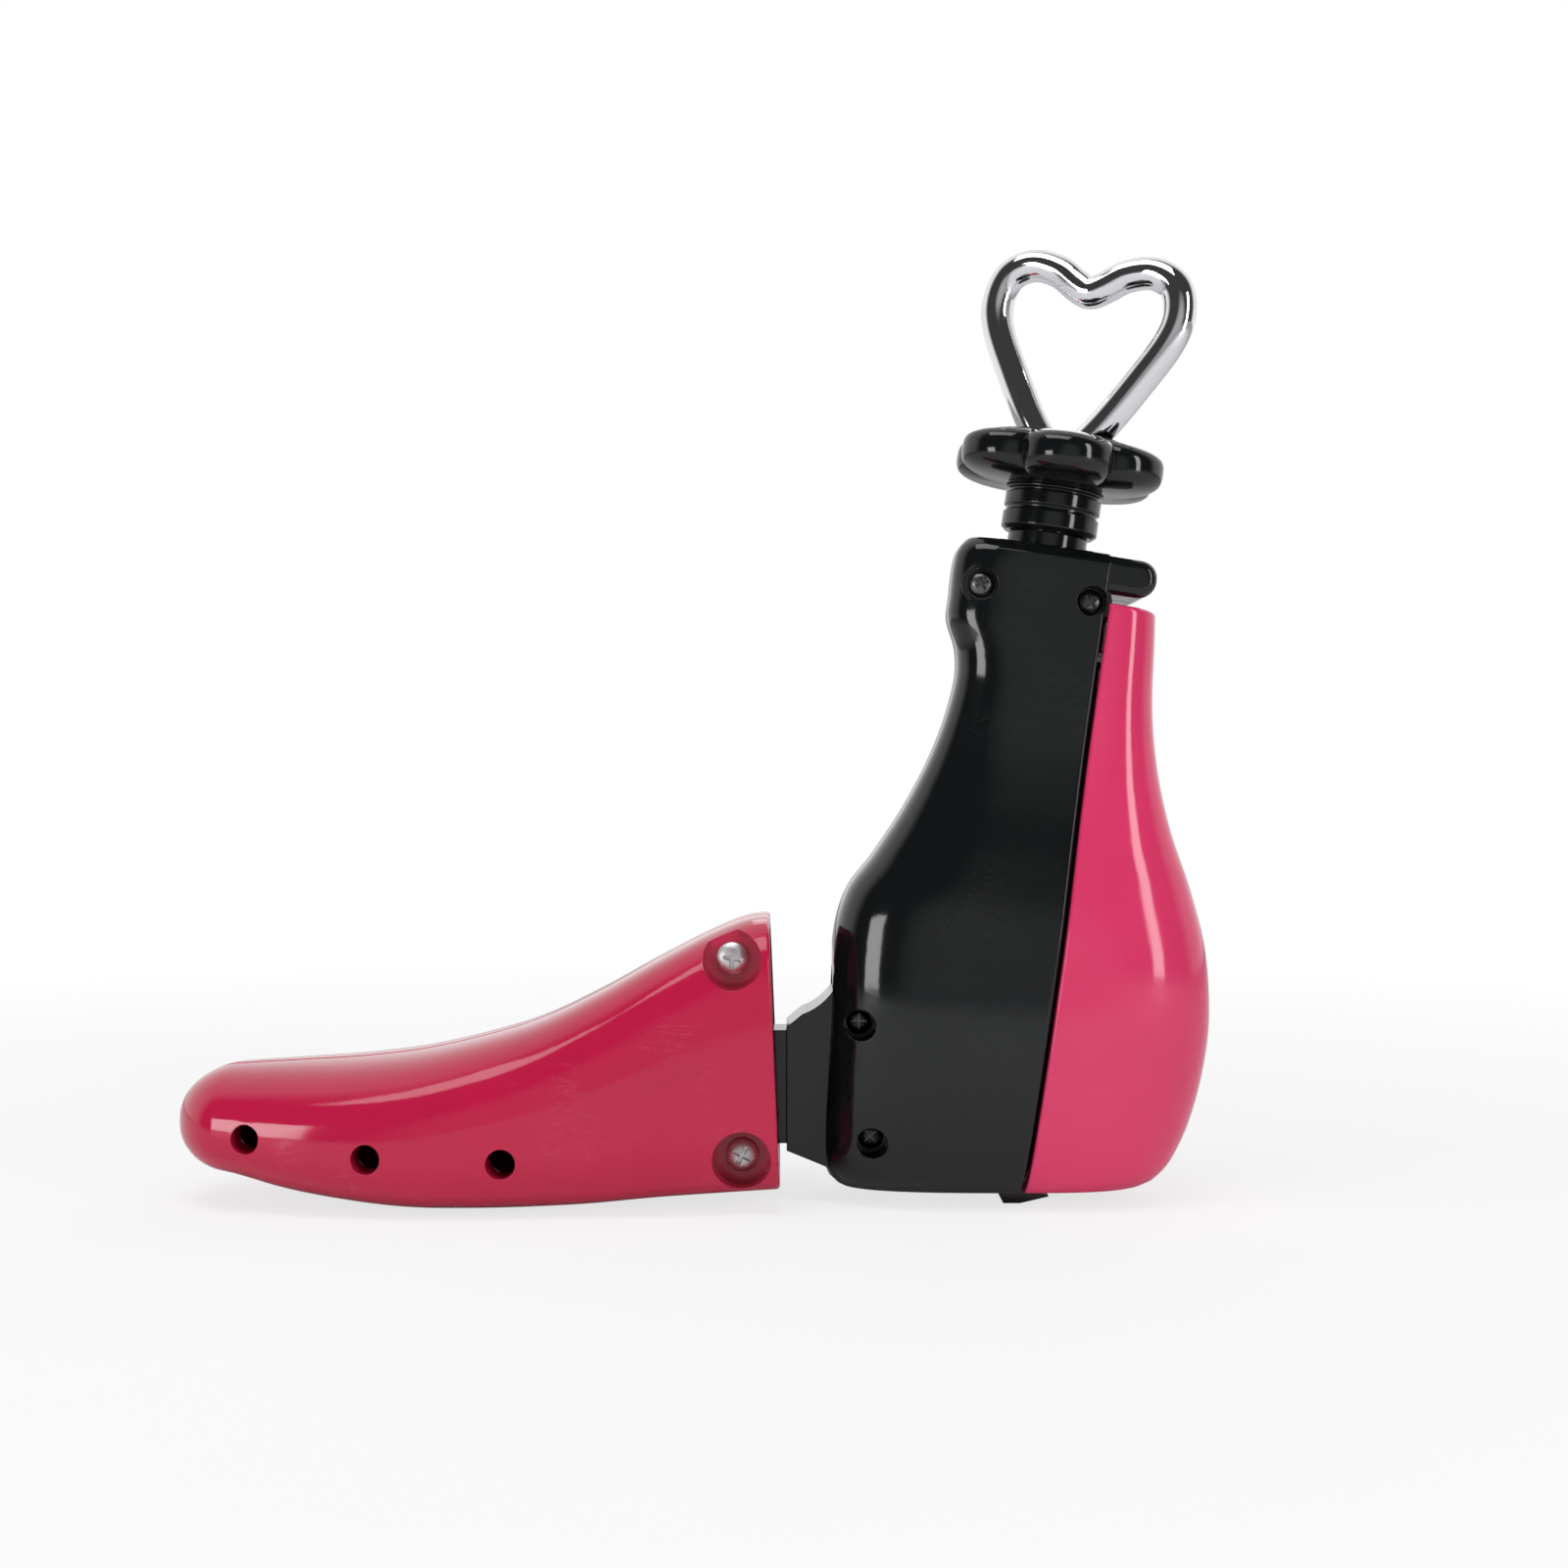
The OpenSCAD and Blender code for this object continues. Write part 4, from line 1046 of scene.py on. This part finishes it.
class STRETCHER_OT_heart(bpy.types.Operator):
    """Adds the heart-shaped handle"""

    bl_idname = "stretcher.heart"
    bl_label = "Heart handle"

    def execute(self, context):
        foot = knob_levels()[1]
        heart = heart_mesh(foot)
        add_piece("heart_grip", heart, "chrome", "handle", "heart_handle", weighted=False)
        ferrule = ((3, 2.6), (5.5, 2.6), (5.5, 5.6), (4.4, 6.9), (3, 6.9))
        profile = [(r * MM, foot + z * MM) for r, z in ferrule]
        bm = bmesh.new()
        lathe(bm, soften(profile, 0.3 * MM), spindle_frame(), 64)
        add_piece("heart_ferrule", bm, "chrome", "handle", "handle_ferrule")
        return {"FINISHED"}


class Tree(Nodes):
    """A geometry node tree under construction, with named inputs."""

    def __init__(self, name, inputs):
        super().__init__(bpy.data.node_groups.new(name, "GeometryNodeTree"))
        face = self.tree.interface
        for way in ("INPUT", "OUTPUT"):
            face.new_socket("Geometry", in_out=way, socket_type="NodeSocketGeometry")
        self.ids = {
            key: face.new_socket(key, in_out="INPUT", socket_type=f"NodeSocket{kind}").identifier
            for key, kind in inputs.items()
        }
        self.start = self.tree.nodes.new("NodeGroupInput")

    def given(self, key):
        return Value(self, self.start.outputs[key])

    def vector(self, x=0.0, y=0.0, z=0.0):
        return self.add("CombineXYZ", {}, {"X": x, "Y": y, "Z": z})

    def raised(self, geometry, z):
        inputs = {"Geometry": geometry, "Translation": self.vector(z=z)}
        return self.add("GeometryNodeTransform", {}, inputs)


def screw_tree():
    """A cross-head pan screw on every point, head outwards along the facing direction."""
    t = Tree("pan_screws", {
        "Head Diameter": "Float", "Head Height": "Float", "Shank Diameter": "Float",
        "Shank Length": "Float", "Facing": "Vector", "Seed": "Int", "Material": "Material",
    })
    wide, high, long = map(t.given, ("Head Diameter", "Head Height", "Shank Length"))
    head = t.add("GeometryNodeMeshCylinder", {"fill_type": "NGON"}, {
        "Vertices": 56, "Side Segments": 4, "Fill Segments": 10,
        "Radius": wide * 0.5, "Depth": high,
    })
    spot = t.add("GeometryNodeInputPosition")
    x, y, z = (t.add("SeparateXYZ", {}, {0: spot}, out=k) for k in range(3))
    share = (x * x + y * y) ** 0.5 / wide * 2.0
    drop = share ** 3.0 * (z / high + 0.5) * (high * -0.5)
    head = t.add("GeometryNodeSetPosition", {}, {"Geometry": head, "Offset": t.vector(z=drop)})
    arm, slot = wide * 0.56, wide * 0.12
    bars = [t.vector(a, b, high * 0.9) for a, b in ((arm, slot), (slot, arm))]
    bars = [t.add("GeometryNodeMeshCube", {}, {"Size": size}) for size in bars]
    bars = [t.raised(bar, high * 0.4) for bar in bars]
    head = t.add("GeometryNodeMeshBoolean", {"operation": "DIFFERENCE", "solver": "EXACT"},
                 {"Mesh 1": head, "Mesh 2": bars})
    shank = t.add("GeometryNodeMeshCylinder", {}, {
        "Vertices": 28, "Radius": t.given("Shank Diameter") * 0.5, "Depth": long,
    })
    shank = t.raised(shank, (high + long) * -0.5)
    screw = t.raised(t.add("GeometryNodeJoinGeometry", {}, {0: [head, shank]}), high * -0.5)
    spin = t.add("FunctionNodeRandomValue", {"data_type": "FLOAT"},
                 {2: 0.0, 3: math.pi / 2, "Seed": t.given("Seed")}, out=1)
    turn = t.add("FunctionNodeRotateRotation", {"rotation_space": "LOCAL"},
                 {0: t.given("Facing"), 1: t.vector(z=spin)})
    screws = t.add("GeometryNodeInstanceOnPoints", {}, {
        "Points": t.given("Geometry"), "Instance": screw, "Rotation": turn,
    })
    real = t.add("GeometryNodeRealizeInstances", {}, {"Geometry": screws})
    done = t.add("GeometryNodeSetMaterial", {},
                 {"Geometry": real, "Material": t.given("Material")})
    t.add("NodeGroupOutput", {}, {0: done})
    return t


def add_screws(name, points, tree, slot_name, body, node, **given):
    """A finished piece with one screw at each point."""
    mesh = bpy.data.meshes.new(name)
    mesh.from_pydata([tuple(p) for p in points], [], [])
    carrier = linked(name + "_places", mesh)
    modifier = carrier.modifiers.new("Screws", "NODES")
    modifier.node_group = tree.tree
    modifier[tree.ids["Material"]] = finish_of(slot_name)
    for key, value in given.items():
        modifier[tree.ids[key.replace("_", " ").title()]] = value
    graph = bpy.context.evaluated_depsgraph_get()
    made = bpy.data.meshes.new_from_object(carrier.evaluated_get(graph))
    carrier.modifiers.clear()
    bpy.data.objects.remove(carrier)
    bm = bmesh.new()
    bm.from_mesh(made)
    add_piece(name, bm, slot_name, body, node, weighted=False)


class STRETCHER_OT_screws(bpy.types.Operator):
    """Adds the cross-head screws of the toe and the body"""

    bl_idname = "stretcher.screws"
    bl_label = "Screws"

    def execute(self, context):
        tree = screw_tree()
        shank, toe_seat, body_seat = 3 * MM, 17.7 * MM, 10 * MM
        for side, sign in (("near", -1), ("far", 1)):
            add_screws(
                f"toe_pan_screws_{side}",
                [(x, sign * toe_seat, z) for x, z in toe_places()[1]],
                tree, "screw_steel", f"toe_{side}", f"toe_screws_{side}", seed=3,
                head_diameter=sizes().screw_head, head_height=2.2 * MM,
                shank_diameter=shank, shank_length=8 * MM, facing=(-sign * math.pi / 2, 0, 0),
            )
        m = spindle_frame()
        add_screws(
            "body_pan_screws", [m @ Vector((x, -body_seat, z)) for x, z in body_screw_places()],
            tree, "dark_steel", "root", "shell_screws", seed=8,
            head_diameter=5.4 * MM, head_height=2 * MM,
            shank_diameter=shank, shank_length=14 * MM, facing=(math.pi / 2, 0, 0),
        )
        return {"FINISHED"}


def coil(bm, x0, z0, start, stop):
    """A coil spring along y between two places, round an axis at x0 and z0."""
    wire = 0.4 * MM
    reach = sizes().spring / 2 - wire
    steps, sides, turns = 120, 10, 4
    rows = []
    for i in range(steps + 1):
        a = TAU * turns * i / steps
        y = start + (stop - start) * i / steps
        row = []
        for b in (TAU * k / sides for k in range(sides)):
            r = reach + wire * math.cos(b)
            row.append((x0 + r * math.cos(a), y + wire * math.sin(b), z0 + r * math.sin(a)))
        rows.append(row)
    solid_rows(bm, rows)


class STRETCHER_OT_springs(bpy.types.Operator):
    """Adds the coil springs that pull the toe halves together"""

    bl_idname = "stretcher.springs"
    bl_label = "Toe springs"

    def execute(self, context):
        tip, long = toe_measures()
        x0 = tip + long - 19.5 * MM
        near_y, far_y, mid = 9.45 * MM, sizes().toe_width / 2 - 9.85 * MM, 30 * MM
        for side, sign in (("near", -1), ("far", 1)):
            bm = bmesh.new()
            for z0 in (18 * MM, 41 * MM):
                coil(bm, x0, z0, sign * near_y, sign * far_y)
            piece = new_object(f"toe_coils_{side}", bm, finish_of("drive_steel"), weighted=False)
            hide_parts(f"toe_springs_{side}")
            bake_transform(piece)
        return {"FINISHED"}


# Node, piece, body, material slot and width of its rounded edges in millimetres
DRESSED = (
    ("toe_bracket", "toe_bracket_cast", "root", "black_plastic", 0.5),
    ("knob_bush", "knob_bushing", "root", "black_plastic", 0.25),
    ("heel_slider", "heel_carriage", "heel", "inner_plastic", 0.2),
    ("upper_guide", "upper_guide_block", "root", "inner_plastic", 0.3),
    ("lower_guide", "lower_guide_block", "root", "inner_plastic", 0.3),
    ("push_rod", "push_shaft", "push", "drive_steel", 0.0),
    ("length_screw", "length_tube", "knob", "drive_steel", 0.0),
    ("spindle", "long_spindle", "handle", "drive_steel", 0.0),
    ("toe_guide_pins", "toe_pins", "root", "drive_steel", 0.0),
    ("pin_clips", "toe_pin_clips", "root", "drive_steel", 0.0),
    ("heel_guide_bars", "heel_bars", "heel", "drive_steel", 0.0),
    ("ramp_block_near", "toe_ramp_near", "toe_near", "inner_plastic", 0.25),
    ("ramp_block_far", "toe_ramp_far", "toe_far", "inner_plastic", 0.25),
    ("spreader_wedge", "toe_wedge", "push", "inner_plastic", 0.3),
    ("length_wedge", "length_nut_cast", "length_nut", "nut_metal", 0.3),
    ("width_wedge", "width_nut_cast", "width_nut", "nut_metal", 0.3),
)
# Nodes whose own shape stays, and the slot of their finish
KEPT = (("heel_screws", "screw_steel"), ("knob_clip", "drive_steel"))


class STRETCHER_OT_drive(bpy.types.Operator):
    """Adds the bracket, guides, shafts and wedges with rounded edges"""

    bl_idname = "stretcher.drive"
    bl_label = "Bracket and drive"

    def execute(self, context):
        for node, name, body, slot_name, width in DRESSED:
            bm = bmesh.new()
            bm.from_mesh(frame["nodes"][node].data)
            bmesh.ops.remove_doubles(bm, verts=bm.verts, dist=2e-6)
            if width:
                bmesh.ops.dissolve_limit(
                    bm, angle_limit=math.radians(1), verts=bm.verts, edges=bm.edges
                )
            piece = add_piece(name, bm, slot_name, body, node)
            if width:
                bevel = piece.modifiers.new("Rounded edges", "BEVEL")
                bevel.width, bevel.segments = width * MM, 2
                bevel.limit_method, bevel.angle_limit = "ANGLE", math.radians(50)
                piece.modifiers.move(1, 0)
        for node, slot_name in KEPT:
            slots = frame["nodes"][node].data.materials
            slots.clear()
            slots.append(finish_of(slot_name))
        return {"FINISHED"}


def softbox(name, at, aim, size, power):
    """A soft rectangular lamp that points at a place."""
    lamp = bpy.data.lights.new(name, "AREA")
    lamp.shape, lamp.size, lamp.size_y, lamp.energy = "RECTANGLE", *size, power
    piece = linked(name, lamp)
    piece.location = at
    piece.rotation_mode = "QUATERNION"
    piece.rotation_quaternion = (Vector(aim) - Vector(at)).to_track_quat("-Z", "Y")


class STRETCHER_OT_stage(bpy.types.Operator):
    """Adds the pale floor, the soft lamps and the camera"""

    bl_idname = "stretcher.stage"
    bl_label = "Stage"

    def execute(self, context):
        scene = context.scene
        scene.view_settings.view_transform = "Standard"
        self.make_floor()
        self.make_world(scene)
        for lamp in LAMPS:
            softbox(*lamp)
        lens = bpy.data.cameras.new("Camera")
        camera = linked("Camera", lens)
        distance, view_width, centre_x, centre_z = 0.45, 0.3368, 0.0192, 0.0882
        lens.sensor_width = 36
        lens.lens = lens.sensor_width * distance / view_width
        lens.clip_start, lens.clip_end = 0.01, 20
        camera.location = (centre_x, -distance, centre_z)
        camera.rotation_euler = (math.pi / 2, 0, 0)
        scene.camera = camera
        return {"FINISHED"}

    @staticmethod
    def make_floor():
        """A matt floor that glows evenly to the camera, more so away from the piece."""
        r = Recipe("pale_floor")
        base = tuple(colours().floor)
        matt = r.add("BsdfPrincipled", {}, {
            "Base Color": r.mix(r.noise(12.0, 4.0), base, shade_of(base, 1.03)),
            "Roughness": 0.9,
        })
        glow = r.add("Emission", {}, {"Color": (1, 1, 1, 1), "Strength": 1.0})
        path = r.add("LightPath", out="Is Camera Ray")
        spot = r.add("TexCoord", out="Object")
        away = r.add("VectorMath", {"operation": "LENGTH"}, {0: spot}, out="Value")
        share = path * (((away - 0.2) * 2.6).limited() * 0.26 + 0.74)
        material = r.made(r.add("MixShader", {}, {0: share, 1: matt, 2: glow}))
        bm = bmesh.new()
        sink = Matrix.Translation((0, 0, -0.06 * MM))
        lathe(bm, [(radius, 0.0) for radius in (0.0, 0.3, 0.8, 2.0, 4.0)], sink, 48)
        bmesh.ops.reverse_faces(bm, faces=bm.faces)
        floor = mesh_object("floor", bm)
        floor.data.materials.append(material)

    @staticmethod
    def make_world(scene):
        """Soft light all round, white to the camera and a shaded room to gloss and chrome."""
        world = bpy.data.worlds.new("Soft studio")
        world.use_nodes = True
        n = Nodes(world.node_tree)
        soft = n.add("Background", {}, {"Color": (0.95, 0.97, 1, 1), "Strength": 0.40})
        spot = n.add("TexCoord", out="Generated")
        depth = n.add("SeparateXYZ", {}, {0: spot}, out="Y")
        stops = [(place, (level, level, level, 1)) for place, level in ROOM]
        room = n.add("MapRange", {}, {"Value": depth, "From Min": -1})
        room = n.add("ValToRGB", {"stops": stops}, {0: room})
        camera, gloss, glass = (
            n.add("LightPath", out=f"Is {kind} Ray")
            for kind in ("Camera", "Glossy", "Transmission")
        )
        white = n.add("Background", {}, {
            "Color": (1, 1, 1, 1), "Strength": room.or_more(camera),
        })
        seen = (camera + gloss + glass).limited()
        mix = n.add("MixShader", {}, {0: seen, 1: soft, 2: white})
        n.add("OutputWorld", {}, {"Surface": mix})
        scene.world = world


PIECES = (
    STRETCHER_OT_toe, STRETCHER_OT_body, STRETCHER_OT_heel, STRETCHER_OT_knob,
    STRETCHER_OT_heart, STRETCHER_OT_screws, STRETCHER_OT_springs, STRETCHER_OT_drive,
    STRETCHER_OT_stage,
)


class STRETCHER_PT_panel(bpy.types.Panel):
    """Pieces, sizes and colours of the stretcher"""

    bl_label = "Shoe stretcher"
    bl_idname = "STRETCHER_PT_panel"
    bl_space_type = "VIEW_3D"
    bl_region_type = "UI"
    bl_category = "Stretcher"

    def draw(self, context):
        for group in (context.scene.stretcher_sizes, context.scene.stretcher_colours):
            box = self.layout.box()
            for key in group.__annotations__:
                box.prop(group, key, text=key.replace("_", " ").capitalize())
        for piece in PIECES:
            self.layout.operator(piece.bl_idname)


CLASSES = (StretcherSizes, StretcherColours, *PIECES, STRETCHER_PT_panel)


def register():
    for item in CLASSES:
        bpy.utils.register_class(item)
    bpy.types.Scene.stretcher_sizes = PointerProperty(type=StretcherSizes)
    bpy.types.Scene.stretcher_colours = PointerProperty(type=StretcherColours)


def unregister():
    del bpy.types.Scene.stretcher_colours
    del bpy.types.Scene.stretcher_sizes
    for item in reversed(CLASSES):
        bpy.utils.unregister_class(item)


def main():
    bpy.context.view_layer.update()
    register()
    for piece in PIECES:
        group, name = piece.bl_idname.split(".")
        getattr(getattr(bpy.ops, group), name)()


if __name__ == "__main__":
    main()
